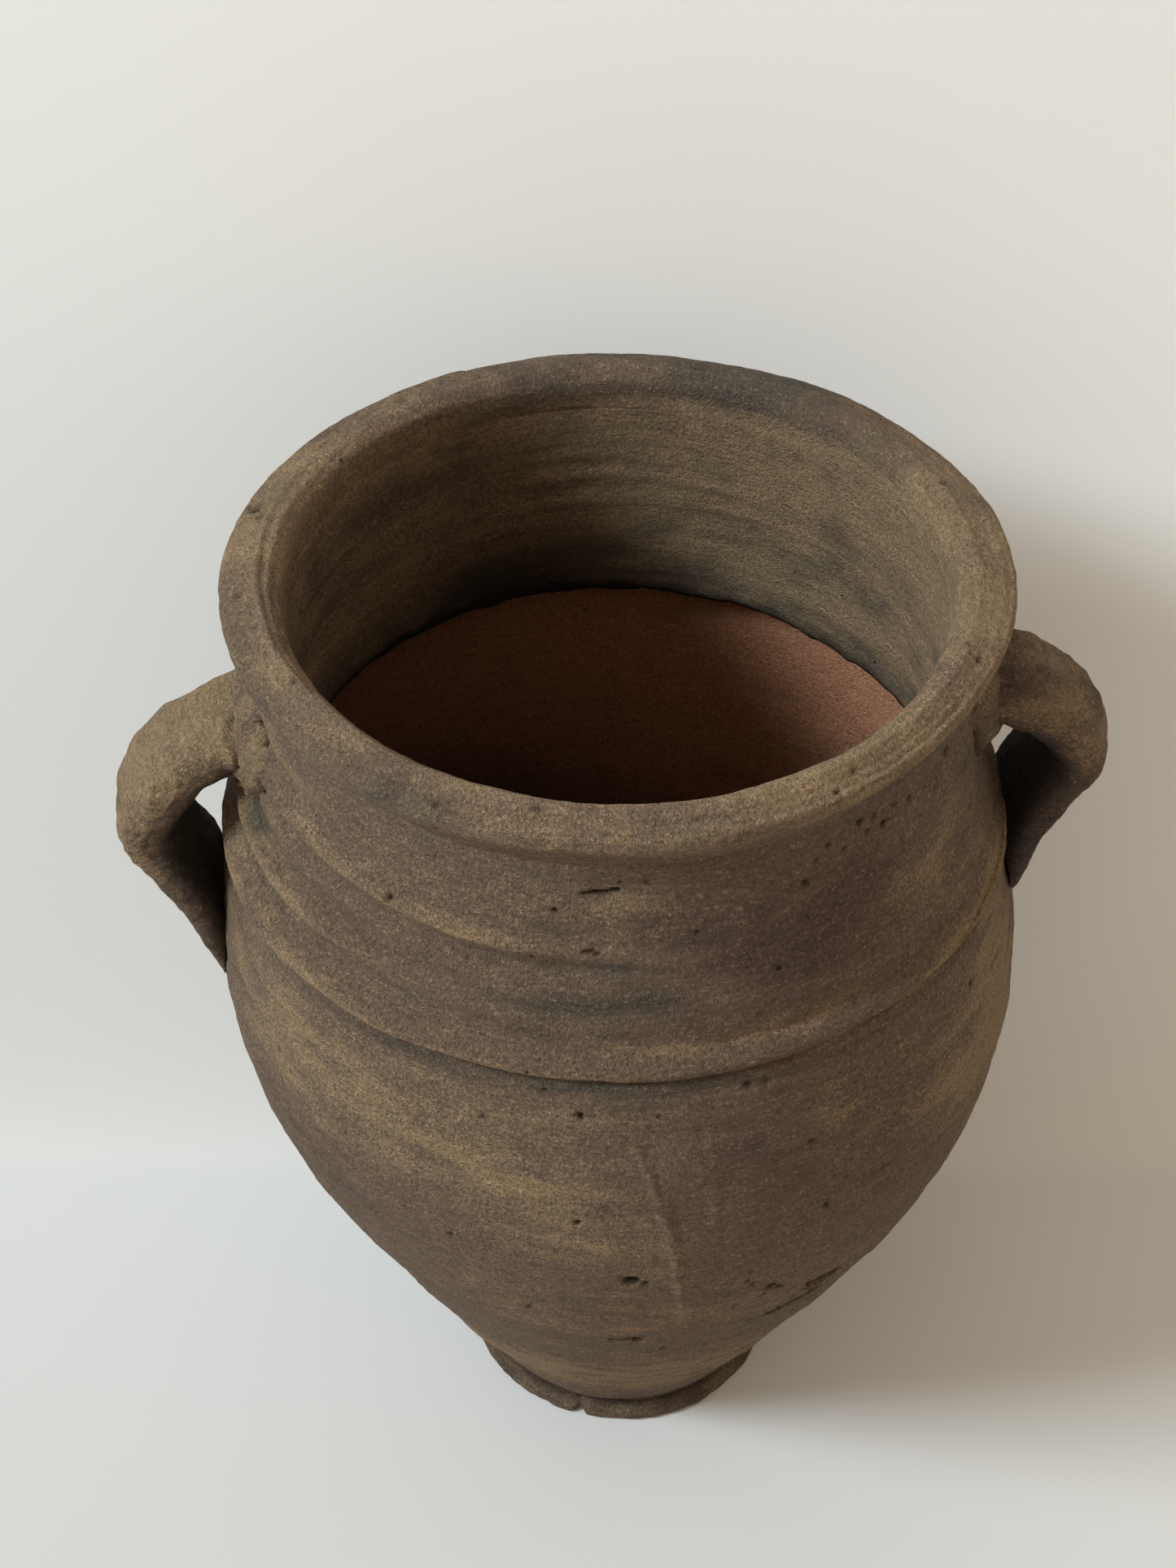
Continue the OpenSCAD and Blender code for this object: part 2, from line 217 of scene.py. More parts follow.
# Raised or sunk lines round the wall: from bearing, to bearing, height there and there,
# half width, and how far they stand out
RINGS = [
    (-125, -34, 300, 300, 2.4, 0.9), (-120, -28, 293.6, 292.6, 2.0, -1.3), (-120, 0, 286, 284.6, 1.9, 1.7),
    (-100, 8, 280.4, 279.4, 1.8, -1.5), (-115, -34, 271.5, 271, 3.0, -1.4), (-95, -34, 264.6, 265.0, 2.3, 1.9),
    (-100, -36, 259.6, 259.8, 2.0, -1.6), (-36, 15, 265, 266, 4, 0.4), (-18, 8, 271, 271, 1.6, 0.5),
    (-12, 70, 302, 302, 4.0, -0.5), (10, 80, 288, 289, 5.0, 0.4), (25, 100, 276, 276, 4.0, -0.4),
    (8, 60, 257.6, 256.6, 1.3, -0.7), (-15, 55, 244.2, 244.2, 0.9, -0.5), (-110, -60, 240, 240, 6.0, -1.2),
    (-10, 70, 242.0, 241.8, 1.1, 0.45), (-60, 30, 237, 237, 4.5, 0.3), (-60, 40, 222, 223, 5.0, 0.35),
    (-80, 0, 205, 203, 6.0, 0.3), (-50, 50, 150, 150, 6.0, -0.35), (-60, 60, 131, 130, 4.0, 0.35),
    (-60, 60, 112, 112, 5.0, -0.4), (-60, 70, 96, 96, 5.0, 0.35), (-80, 70, 52, 52, 6.0, 0.4),
    (-180, -90, 288, 288, 3.0, 0.5), (100, 200, 280, 280, 3.0, -0.4), (100, 220, 268, 268, 4.0, 0.4),
    (90, 260, 215, 215, 8.0, 0.3), (90, 260, 160, 160, 8.0, -0.35),
]
# Lines dripped or scratched down the wall: bearing, top, bearing, bottom, half width, stands out
STREAKS = [
    (2.6, 233, 7.0, 198, 1.1, 0.5), (6.2, 216, 9.6, 134, 1.3, 0.55), (4.5, 222, 6.4, 196, 0.7, 0.28),
    (12.5, 238, 13.2, 192, 0.9, 0.22), (10.5, 236, 11.4, 214, 0.7, 0.18), (52, 178, 63, 130, 0.6, -0.5),
    (47, 164, 57, 140, 0.5, -0.45), (-33, 226.6, -4, 226.9, 0.35, -0.25), (-26, 228.6, -8, 229, 0.3, -0.2),
    (-24, 222.3, -10, 222, 0.3, -0.2), (-30, 268.5, -2, 267.2, 0.35, -0.2), (20, 236, 33, 235, 0.4, -0.2),
]
# Torn slits: bearing, height, bearing, height, half width, depth
SLITS = [
    (23.8, 125.5, 33.5, 132.5, 2.1, 4.2), (28.6, 141.6, 35.5, 141.0, 1.7, 3.6), (33, 119.5, 37, 110, 1.1, 2.6),
    (18, 128, 24.5, 126, 0.7, 1.2), (-2.8, 124.9, 2.8, 125.4, 1.6, 3.2), (-5, 300.4, 1.2, 301.2, 0.6, 1.5),
    (-4.6, 284.7, -1.6, 284.3, 0.5, 0.9), (52, 140, 57, 132, 1.2, 2.2), (57, 131, 61, 120, 1.2, 2.0),
    (-150, 120, -135, 121, 1.2, 2.2), (150, 119, 158, 121, 1.2, 2.0),
]
# Pits and stone holes: bearing, height, radius, depth
PITS = [
    (-53, 214.2, 0.9, 1.1), (-38, 207, 0.8, 0.8), (-4.9, 202.7, 0.9, 1.2), (-22.4, 186.5, 0.8, 1.0),
    (-17.3, 232.7, 0.9, 0.9), (-4.2, 238.3, 1.2, 1.2), (26.3, 219.5, 1.0, 1.0), (28.6, 192, 1.2, 1.1),
    (38.3, 194.5, 1.0, 1.0), (52.3, 179, 1.3, 1.3), (48, 165.8, 1.1, 1.1), (59.3, 229.5, 1.2, 1.1),
    (58.3, 187.5, 1.0, 0.9), (-34, 285.8, 1.0, 1.1), (-8.5, 295.3, 0.9, 1.0), (-3, 284.6, 0.8, 0.9),
    (12, 288.3, 0.7, 0.9), (24, 272.8, 0.8, 0.9), (-11.4, 281.5, 0.8, 0.8), (-21, 277, 0.7, 0.7),
    (1.6, 175.4, 2.0, 2.2), (3.4, 173.6, 1.2, 1.0), (0.2, 177.4, 0.8, 0.7), (18, 165, 1.1, 1.2),
    (19, 161, 1.3, 1.3), (22, 154, 1.9, 1.7), (23.6, 151.5, 1.4, 1.4), (25, 157, 1.0, 1.0),
    (21, 149, 1.2, 1.1), (26.5, 146, 1.2, 1.2), (17, 146.5, 0.9, 0.9), (27, 138, 1.1, 1.1), (15, 158, 0.9, 0.8),
    (33, 302, 0.9, 1.1), (39, 304, 1.0, 1.2), (40.5, 300, 0.8, 1.0), (36, 298.5, 0.8, 0.9), (42, 303, 0.8, 1.0),
    (44, 299, 1.1, 1.2), (46.5, 302, 0.9, 1.0), (31, 299, 0.7, 0.8), (50, 300.5, 0.8, 0.9), (29, 294, 1.2, 0.9),
    (62, 301, 1.1, 1.1), (57, 296, 0.8, 0.8), (48, 290, 0.8, 0.8), (4.5, 304, 0.7, 0.7), (-27, 303, 0.7, 0.7),
    (18, 243.5, 1.4, 0.8), (20.5, 243, 1.2, 0.7), (-9, 245, 0.9, 0.8), (-2, 243, 0.8, 0.7), (36.5, 249.5, 1.3, 0.9),
    (-66, 236, 2.2, -0.7), (-45, 150, 1.1, 0.9), (9, 113, 1.2, 0.9), (-14, 148, 0.9, 0.9), (7, 108, 1.4, 0.8),
    (140, 215, 1.4, 1.0), (-150, 190, 1.6, 1.1), (-120, 150, 1.3, 1.0), (165, 120, 2.0, 1.4),
    (120, 262, 1.2, 0.9), (-165, 272, 1.3, 1.0), (100, 100, 1.6, 1.2), (-100, 90, 1.4, 1.0),
    (-125, 235, 1.0, 1.0), (175, 235, 1.2, 1.0), (110, 180, 1.1, 1.0), (-170, 140, 1.0, 0.9),
]


def wall_relief(p, grain):
    """How far the outer wall stands out of its turned shape, in millimetres: slow unevenness,
    lumps and grain as waves, throwing rings, and the placed rings, streaks, slits and pits."""
    a, z = bearing(p), p[..., 2]
    out = 0.34 * waves(p, 75, 1) + 0.20 * waves(p, 24, 2)
    out += grain * (0.12 * waves(p, 9, 3) + 0.09 * waves(p, 3.4, 4))
    turned = p * np.array([0.12, 0.12, 1.0])
    out += 0.22 * waves(turned, 9, 5) + 0.12 * waves(turned, 3.5, 6) * grain
    ridge = through(a, RIDGE_Z) + 0.5 * waves(p, 40, 7)
    out += through(a, RIDGE_OUT) * np.exp(-((z - ridge) / np.where(z > ridge, through(a, RIDGE_SLOPE), 1.5)) ** 2)
    out -= through(a, CREASE_IN) * np.exp(-((z - ridge + 3.1) / 1.0) ** 2)
    for a0, a1, z0, z1, half, high in RINGS:
        middle, reach = (a0 + a1) / 2, abs(a1 - a0) / 2
        off = around(a, middle)
        along = np.clip(off / reach, -1, 1)
        line = (z0 + z1) / 2 + (z1 - z0) / 2 * along + 0.7 * waves(p, 60, 17)
        out += high * np.exp(-((z - line) / half) ** 2) * (1 - step(np.abs(off), 0.72 * reach, reach))
    for a0, z0, a1, z1, half, high in STREAKS:
        out += high * bell_line(a, z, a0, z0, a1, z1, half, 0.4 * waves(p, 14, 8))
    return out - mark_depth(p)


def mark_depth(p):
    """Depth of the slits and pits, in millimetres."""
    a, z = bearing(p), p[..., 2]
    deep = np.zeros(z.shape)
    torn = 0.9 * waves(p, 6, 9) + 0.5 * waves(p, 2.5, 10)
    for a0, z0, a1, z1, half, low in SLITS:
        deep = np.maximum(deep, low * bell_line(a, z, a0, z0, a1, z1, half, torn * min(1, half)))
    for a0, z0, radius, low in PITS:
        near = bell(a, z, p, a0, z0, radius)
        deep = np.where(near * abs(low) > np.abs(deep), low * near, deep)
    return deep


def bell(a, z, p, a0, z0, radius):
    """Bell of 1 at the mark and near 0 at 1.5 radii, squared distance along the wall."""
    side = np.radians(around(a, a0)) * np.hypot(p[..., 0], p[..., 1])
    return np.exp(-((side**2 + (z - z0) ** 2) / radius**2) ** 1.4)


def bell_line(a, z, a0, z0, a1, z1, half, shift):
    """Bell across a straight line on the unrolled wall, in millimetres, with faded ends."""
    k = math.radians(1) * 108
    x, dx, dz = around(a, a0) * k, around(a1, a0) * k, z1 - z0
    size = math.hypot(dx, dz)
    t = (x * dx + (z - z0) * dz) / size**2
    off = (x * dz - (z - z0) * dx) / size + shift
    return np.exp(-((off / half) ** 2) ** 1.3) * step(t, -0.02, 0.12) * (1 - step(t, 0.85, 1.02))


# Soft patches on the outer wall: bearing, height, half width in degrees, half height, amount. Next to the clay's own
# colours, these lists hold painted light and shade, noted line by line.
OCHRE_AND_PAINTED_LIGHT = [
    (-52, 226, 13, 15, 0.75), (-32, 228, 14, 13, 0.75), (-14, 224, 11, 12, 0.7), (-10, 208, 12, 12, 0.75),
    (-4, 192, 10, 10, 0.6), (2, 182, 8, 7, 0.4), (-24, 212, 12, 9, 0.5), (-45, 208, 14, 7, 0.35),
    # Painted highlights: the ochre lines at 265 and 252.5 mm on ring and bead crests; painted light: bearings 64 and 74
    # on the right flank
    (-6, 236, 9, 5, 0.45), (-66, 262, 14, 14, 0.5), (-40, 292, 26, 7, 0.45), (-62, 205, 12, 30, 0.4), (-72, 270, 14, 34, 0.4), (-78, 232, 12, 16, 0.3), (74, 205, 14, 40, 0.3), (4, 146, 45, 24, 0.5), (64, 220, 14, 70, 0.3), (-52, 265, 15, 2.2, 1.0), (-54, 252.5, 18, 2.4, 0.9),
    # Painted highlights: the ochre lines at 284.6 and 285.5 mm on a throwing ring's crest
    (-20, 284.6, 14, 2.6, 1.0), (-46, 285.5, 18, 3.2, 0.55), (1, 286, 5, 5, 0.6), (-10, 298, 14, 6, 0.35),
    # Painted highlights: the ochre lines at 250 and 250.4 mm on the bead's crest
    (3, 297, 6, 6, 0.45), (-58, 250, 28, 1.8, 1.0), (-15, 250.4, 24, 1.6, 0.6), (16, 257, 22, 2.6, 0.75),
    # Painted highlights: the ochre lines at 249 and 248.4 mm on the bead's crest
    (28, 249, 22, 1.8, 0.5), (62, 248.4, 20, 2.0, 1.2), (31, 230, 5, 10, 0.75), (35, 208, 7, 7, 0.4),
    (58, 212, 12, 18, 0.85), (53, 272, 8, 11, 0.8), (62, 284, 8, 8, 0.4), (-8, 268, 9, 3, 0.3),
    (5, 205, 2.0, 26, 0.35), (8, 165, 1.6, 22, 0.35), (12.8, 214, 1.5, 20, 0.3), (-70, 300, 22, 5, 0.6),
    # Painted light: the broad ochre at 55 mm on the low cone and at bearings 70 and 72 on the right flank, light
    # bounced up from the paper
    (-30, 60, 30, 12, 0.45), (15, 70, 34, 18, 0.6), (-50, 30, 20, 9, 0.3), (5, 100, 40, 12, 0.35), (6, 55, 60, 26, 0.9), (72, 230, 12, 30, 0.7), (70, 180, 14, 30, 0.6), (64, 195, 12, 14, 0.35),
    (110, 230, 25, 25, 0.6), (160, 200, 22, 30, 0.8), (-140, 220, 25, 25, 0.8), (-110, 180, 18, 30, 0.5),
    (130, 280, 30, 10, 0.7), (-160, 285, 30, 9, 0.6), (-100, 275, 18, 8, 0.6), (180, 130, 30, 20, 0.4),
    # Painted highlights on the bead's crest
    (-180, 250.5, 70, 1.6, 0.8), (68, 249.5, 16, 2.6, 0.8),
]
SOOT_AND_PAINTED_SHADE = [
    # Painted shade: the soot lines along the crease under the bead
    (-38, 245.6, 20, 2.2, 0.8), (-8, 246.6, 16, 2.2, 0.9), (18, 245.5, 12, 2.4, 0.7), (-2, 242.4, 16, 1.8, 0.5),
    # Painted shade: the soot lines at 279.4, 259.6 and 271 mm in the throwing rings' hollows
    (-8, 290.5, 5, 3.5, 0.9), (-4, 271, 15, 10, 1.0), (-16, 279.4, 14, 1.5, 0.8), (-58, 259.6, 15, 2.0, 0.9), (-62, 271, 12, 2.2, 0.6),
    (-30, 262, 12, 2.4, 0.45), (-70, 284, 6, 12, 0.8), (-68, 268, 5, 6, 0.5), (-30, 131, 17, 11, 0.55),
    (-26, 100, 22, 10, 0.35), (1, 174, 3, 3, 0.5), (22, 153, 5, 8, 0.6), (31, 124, 6, 9, 0.8), (0, 125, 4, 3, 0.6),
    (6, 92, 18, 8, 0.25), (0, 62, 40, 6, 0.3), (-20, 306, 26, 3, 0.5), (30, 257.6, 18, 2.0, 0.35),
    # Soot and painted shade: the ring at 9 mm, over the crease above the foot
    (72, 286, 6, 9, 0.6), (30, 30, 30, 9, 0.3), (0, 9, 180, 3.0, 1.2), (60, 126, 8, 14, 0.5),
    (-82, 240, 9, 20, 0.7),  (12, 300, 16, 5, 0.3), (150, 250, 25, 9, 0.5),
    (14, 140, 46, 30, -0.3), (-130, 110, 30, 20, 0.5), (120, 150, 25, 20, 0.45), (180, 300, 30, 8, 0.6),
]
UMBER_AND_PAINTED_LIGHT = [
    (22, 274, 18, 16, 0.9), (36, 284, 14, 14, 0.9), (12, 292, 12, 9, 0.6), (-36, 272, 26, 5, 0.55),
    (-10, 262, 22, 5, 0.5), (12, 150, 34, 22, 0.25), (-45, 176, 18, 18, 0.6), (42, 205, 10, 26, 0.5),
    (20, 214, 9, 24, 0.6), (-10, 146, 30, 14, 0.2), (0, 80, 50, 14, 0.1), (16, 225, 8, 14, 0.4),
    (-70, 160, 14, 50, 0.3), (-66, 222, 8, 26, 0.25), (-48, 196, 22, 8, 0.3),
    # Painted light: the negative umber at bearing 70 lightens the right flank, as light bounced up from the paper
    (8, 140, 52, 32, -0.35), (70, 200, 14, 60, -0.3), (100, 270, 20, 14, 0.6), (-170, 160, 25, 30, 0.6), (140, 110, 25, 30, 0.6), (-100, 240, 14, 30, 0.5),
]


def patches(p, marks, seed):
    """Sum of soft bells at the marks, with their edges moved about and drawn out round the jar
    by waves, and thinned here and there."""
    a, z = bearing(p), p[..., 2]
    turned = p * np.array([0.3, 0.3, 1.0])
    shift = 5 * waves(turned, 16, seed)
    drift = 3.0 * waves(p, 26, seed + 1) + 1.2 * waves(turned, 5, seed + 2)
    total = np.zeros(z.shape)
    for a0, z0, wide, high, amount in marks:
        slack = min(1, high / 9)
        d = (around(a + shift * min(1, wide / 9), a0) / wide) ** 2 + ((z + drift * slack - z0) / high) ** 2
        total += amount * np.exp(-d)
    return total * (0.85 + 0.45 * waves(turned, 8, seed + 3))


# ---------------------------------------------------------------- meshes

def closed_mesh(name, grid, tone, round_rows, fans=True):
    """Piece from a grid of points in millimetres: columns always close on themselves, rows do
    when round_rows is set, and otherwise each end is closed by a fan to its middle. Faces are
    turned outwards by the sign of the volume, the sum of a . (b x c) / 6 over the triangles."""
    rows, cols = grid.shape[:2]
    points = grid.reshape(-1, 3)
    i = np.arange(rows if round_rows else rows - 1)
    j = np.arange(cols)
    i, j = np.meshgrid(i, j, indexing="ij")
    i2, j2 = (i + 1) % rows, (j + 1) % cols
    quads = np.stack([i * cols + j, i * cols + j2, i2 * cols + j2, i2 * cols + j], -1).reshape(-1, 4)
    colour = tone.reshape(-1, 4)
    ends = []
    if not round_rows:
        n = len(points)
        points = np.vstack([points, grid[0].mean(0), grid[-1].mean(0)])
        colour = np.vstack([colour, tone[0].mean(0), tone[-1].mean(0)])
        k = np.arange(cols)
        ends = np.vstack([np.stack([np.full(cols, n), (k + 1) % cols, k], -1),
                          np.stack([np.full(cols, n + 1), (rows - 1) * cols + k,
                                    (rows - 1) * cols + (k + 1) % cols], -1)])
    q = points[quads]
    volume = (np.einsum("ij,ij->i", q[:, 0], np.cross(q[:, 1], q[:, 2])).sum()
              + np.einsum("ij,ij->i", q[:, 0], np.cross(q[:, 2], q[:, 3])).sum())
    faces = quads[:, ::-1].tolist() if volume < 0 else quads.tolist()
    if len(ends):
        faces += (ends[:, ::-1] if volume < 0 else ends).tolist()
    mesh = bpy.data.meshes.new(name)
    mesh.from_pydata((points * MM).tolist(), [], faces)
    mesh.shade_smooth()
    layer = mesh.attributes.new("clay_tone", "FLOAT_COLOR", "POINT")
    layer.data.foreach_set("color", colour.astype(np.float32).ravel())
    mesh.validate()
    piece = bpy.data.objects.new(name, mesh)
    bpy.context.scene.collection.objects.link(piece)
    return piece


def finish_piece(piece, node, material):
    piece.data.materials.append(material)
    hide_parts(node)
    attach(piece, BODY)


CROWD = 0.42


def spun(outline, columns):
    """Grid of an outline (radius, height) turned round the axis: x = r sin b, y = -r cos b, where
    the bearing b = u - CROWD sin u brings the columns closer together at the front."""
    turn = np.linspace(0, 2 * math.pi, columns, endpoint=False)
    turn = turn - CROWD * np.sin(turn)
    r, z = outline[:, 0][:, None], outline[:, 1][:, None]
    return np.stack([r * np.sin(turn), -r * np.cos(turn), z + 0 * turn], -1)


def outline_normals(outline, closed):
    """Normal of the outline at each point, turned a quarter from the mean of its two sides."""
    if closed:
        d = np.roll(outline, -1, 0) - np.roll(outline, 1, 0)
    else:
        d = np.gradient(outline, axis=0)
    n = np.stack([d[:, 1], -d[:, 0]], -1)
    return n / (np.linalg.norm(n, axis=1, keepdims=True) + 1e-9)


def push(grid, outline, closed, amount):
    """Moves each point by amount along the outline's normal, carried round the axis."""
    n = outline_normals(outline, closed)
    radial = grid[..., :2] / (np.linalg.norm(grid[..., :2], axis=-1, keepdims=True) + 1e-9)
    out = grid.copy()
    out[..., :2] += radial * (n[:, 0][:, None] * amount)[..., None]
    out[..., 2] += n[:, 1][:, None] * amount
    return out


def bowed(grid):
    """Shifts each point sideways by the bow of the axis at its height."""
    out = grid.copy()
    out[..., 0] += through(grid[..., 2], AXIS_BOW)
    return out


def heights(low, high, spacing):
    return np.linspace(low, high, max(2, int(round((high - low) / spacing)) + 1))


EDGE = 0.06


def wall_ring(low, high, inner_low, inner_high, inner, spacing, inner_spacing):
    """Closed outline of a wall piece: up the outside, across the top, down the inside, across
    the bottom, with a short first step at each corner so that the outside shades to its edge."""
    zo, zi = heights(low, high, spacing), heights(inner_low, inner_high, inner_spacing)[::-1]
    outside = np.stack([wall_r(np.where(zo > high - 1e-6, high - 1e-6, zo)), zo], -1)
    inside = np.stack([inner(zi), zi], -1)
    top = edge_rows(outside[-1], inside[0])
    bottom = edge_rows(inside[-1], outside[0])
    return np.vstack([outside, top, inside, bottom]), len(outside), len(top), len(inside)


def edge_rows(a, b):
    """Points between two corners, the first and last close to them."""
    way = (b - a) / np.linalg.norm(b - a)
    size = np.linalg.norm(b - a)
    t = np.array([EDGE, size * 0.33, size * 0.67, size - EDGE])
    return a + way * t[:, None]


def tones(p, ochre, soot, umber, dark=0.0):
    """Four amounts of the clay_tone attribute: ochre, soot, umber and dark; soot below zero stands for terracotta.
    Ochre and soot also carry painted light and shade in places, and dark is mostly painted shade.
    """
    return np.stack([np.broadcast_to(c, p.shape[:-1]) for c in (ochre, soot, umber, dark)], -1)


def outside_tones(p):
    """Amounts of ochre, soot and purple brown on the outer wall, with the painted light and shade of their lists, and
    painted shade in its slits and pits, at the foot's crease and in the crease under the bead.
    """
    a, z = bearing(p), p[..., 2]
    # Painted shade: darker in the slits and pits and in the crease at the wall's foot, 7 mm up
    dark = step(mark_depth(p), 0.3, 1.0) * 0.95 + 0.5 * np.exp(-((z - 7) / 2.6) ** 2)
    # Painted shade in the crease under the bead, strongest at the front
    crease = np.exp(-((z - through(a, RIDGE_Z) - 0.5 * waves(p, 40, 7) + 3.1) / 0.55) ** 2)
    dark += 0.5 * crease * (0.35 + 0.65 * np.exp(-((a + 4) / 38) ** 2))
    return tones(p, patches(p, OCHRE_AND_PAINTED_LIGHT, 21), patches(p, SOOT_AND_PAINTED_SHADE, 31), patches(p, UMBER_AND_PAINTED_LIGHT, 41), np.clip(dark, 0, 1))


def inner_relief(p, grain):
    """Brush and throwing lines inside, as waves that are long round the jar and short upwards,
    with a few ridges standing out, and lumps of slip here and there."""
    turned = p * np.array([0.06, 0.06, 1.0])
    lines = waves(turned, 3.2, 13)
    return (0.28 * waves(p, 50, 11) + 0.26 * waves(turned, 6, 12) + 0.18 * lines
            + 0.5 * np.maximum(0, lines - 0.8) + 0.8 * np.maximum(0, waves(p, 8, 16) - 1.2)
            + grain * (0.08 * waves(p, 7, 14) + 0.06 * waves(p, 3, 15)))


def dressed_wall(name, parts, columns, inner_tone, grain, torn=0.0):
    """Turns a wall ring, gives its outside and inside their relief and tones, and bows it. The
    inside's lower edge hangs down by torn millimetres where a wave is high."""
    outline, n_out, n_top, n_in = parts
    flat = spun(outline, columns)
    rows = np.arange(len(outline))
    outer_share = np.where(rows < n_out, 1.0, 0.0)
    outer_share[n_out] = outer_share[-1] = 1.0
    inner_share = np.where((rows >= n_out + n_top - 1) & (rows <= n_out + n_top + n_in), 1.0, 0.0)
    amount = (wall_relief(flat, grain) * outer_share[:, None]
              + inner_relief(flat, grain) * inner_share[:, None])
    n = outline_normals(outline, True)
    # The corners move as their outer or inner face does
    n[n_out - 1] = n[n_out] = n[n_out - 2]
    n[0] = n[-1] = n[1]
    first, last = n_out + n_top, n_out + n_top + n_in - 1
    n[first - 1] = n[first] = n[first + 1]
    n[last] = n[last + 1] = n[last - 1]
    radial = np.concatenate([flat[..., :2] / np.linalg.norm(flat[..., :2], axis=-1, keepdims=True),
                             np.zeros(flat.shape[:-1] + (1,))], -1)
    moved = flat + radial * (n[:, 0][:, None] * amount)[..., None]
    moved[..., 2] += n[:, 1][:, None] * amount
    hem = np.exp(-((flat[..., 2] - flat[last, 0, 2]) / 2.0) ** 2) * (rows >= first - 1)[:, None]
    hem = hem * (np.hypot(flat[..., 0], flat[..., 1]) < THROAT_R + 2)
    moved[..., 2] -= torn * hem * np.maximum(0, 0.6 + waves(flat, 15, 18) + 0.4 * waves(flat, 3.5, 19))
    tone = outside_tones(flat) * (outer_share[:, None, None] > 0) + inner_tone(flat) * (
        outer_share[:, None, None] == 0)
    return closed_mesh(name, bowed(moved), tone, True)


def belly_inside_tone(p):
    """Terracotta, darker towards the bottom, with faint bands and a few brown stains, and painted shade on the
    left-hand inner wall.
    """
    turned = p * np.array([0.15, 0.15, 1.0])
    stain = np.maximum(0, waves(p, 30, 51)) * 0.5
    depth = step(225 - p[..., 2], 0, 130)
    # Painted shade on the left-hand inner wall, which the window does not reach
    shaded = 0.68 * np.exp(-(around(bearing(p), -105) / 85) ** 2)
    return tones(p, 0.1 + stain, -1.0, 0.05 + 0.3 * waves(turned, 12, 52) + 0.3 * depth,
                 np.clip(0.02 + 0.68 * depth + shaded, 0, 0.95))


def collar_inside_tone(p):
    """Grey green and ochre in bands inside the neck, with painted light on the right-back wall; soot and painted shade
    at the throat's edge and on the left-back wall.
    """
    a, z = bearing(p), p[..., 2]
    turned = p * np.array([0.12, 0.12, 1.0])
    ochre = 0.75 + 0.25 * waves(turned, 14, 53) + 0.15 * waves(p, 16, 58)
    # Painted light: more ochre on the right-back inner wall, where the window shines in
    ochre = ochre + 1.1 * np.exp(-(around(a, 128) / 45) ** 2)
    soot = 0.3 + 0.3 * waves(turned, 20, 54) + 0.2 * waves(p, 22, 59)
    # Soot and painted shade in a band over the throat's edge
    soot = soot + 0.4 * np.exp(-((z - 247) / 5.5) ** 2) + 0.1 * np.exp(-(around(a, 160) / 25) ** 2)
    warm = 0.2 + 0.3 * waves(turned, 16, 55) + 0.5 * np.exp(-(around(a, -110) / 40) ** 2)
    # Dark at the throat's edge: soot and painted shade
    edge = 0.85 * np.exp(-((z - 244) / (3.0 + 1.0 * waves(p, 12, 60))) ** 2)
    # Soot and painted shade on the left-back wall, darkest near the throat
    left = np.exp(-(around(a, -158) / 26) ** 2)
    soot_and_painted_shade = (0.65 * np.exp(-((z - 250) / 20) ** 2) + 0.22) * left
    return tones(p, ochre, soot, warm, edge + soot_and_painted_shade)


# ---------------------------------------------------------------- the lip

LIP_EDGE_R, LIP_EDGE = 2.5, (97.5, 320.7)
LIP_CREST_R, LIP_CREST = 5.5, (89.5, 320.5)


def arc(centre, radius, start, end, count):
    """Points of a circle's arc between two angles in degrees."""
    t = np.radians(np.linspace(start, end, count))
    return np.stack([centre[0] + radius * np.cos(t), centre[1] + radius * np.sin(t)], -1)


def lip_outline():
    """Closed outline: up the underside, round the outer edge, over the crest, down the bore and
    back along the bevel on the neck."""
    z = heights(NECK_TOP_Z, LIP_EDGE[1], 0.8)
    under = np.stack([hermite(z, (NECK_TOP_Z, 90.75, 0.55), (LIP_EDGE[1], 100.0, 0.0)), z], -1)
    tilt = math.degrees(math.atan2(2.8, LIP_EDGE[0] - LIP_CREST[0]))
    edge = arc(LIP_EDGE, LIP_EDGE_R, 6, 90 - tilt, 9)
    crest = arc(LIP_CREST, LIP_CREST_R, 90 - tilt, 180, 16)
    bridge = edge[-1] + (crest[0] - edge[-1]) * np.linspace(0, 1, 9)[1:-1, None]
    bore = np.stack([np.full(7, MOUTH_R), np.linspace(LIP_CREST[1], NECK_TOP_Z + 4, 8)[1:]], -1)
    bore = np.vstack([bore, [[MOUTH_R + 0.5, NECK_TOP_Z + 2.6]]])
    bevel = edge_rows(bore[-1], under[0])
    return np.vstack([under, edge, bridge, crest, bore, bevel])


# ---------------------------------------------------------------- handles

def bend(p, t):
    """Cubic curve of four guide points at shares t."""
    t = t[:, None]
    return p[0] * (1 - t)**3 + p[1] * 3 * t * (1 - t)**2 + p[2] * 3 * t**2 * (1 - t) + p[3] * t**3


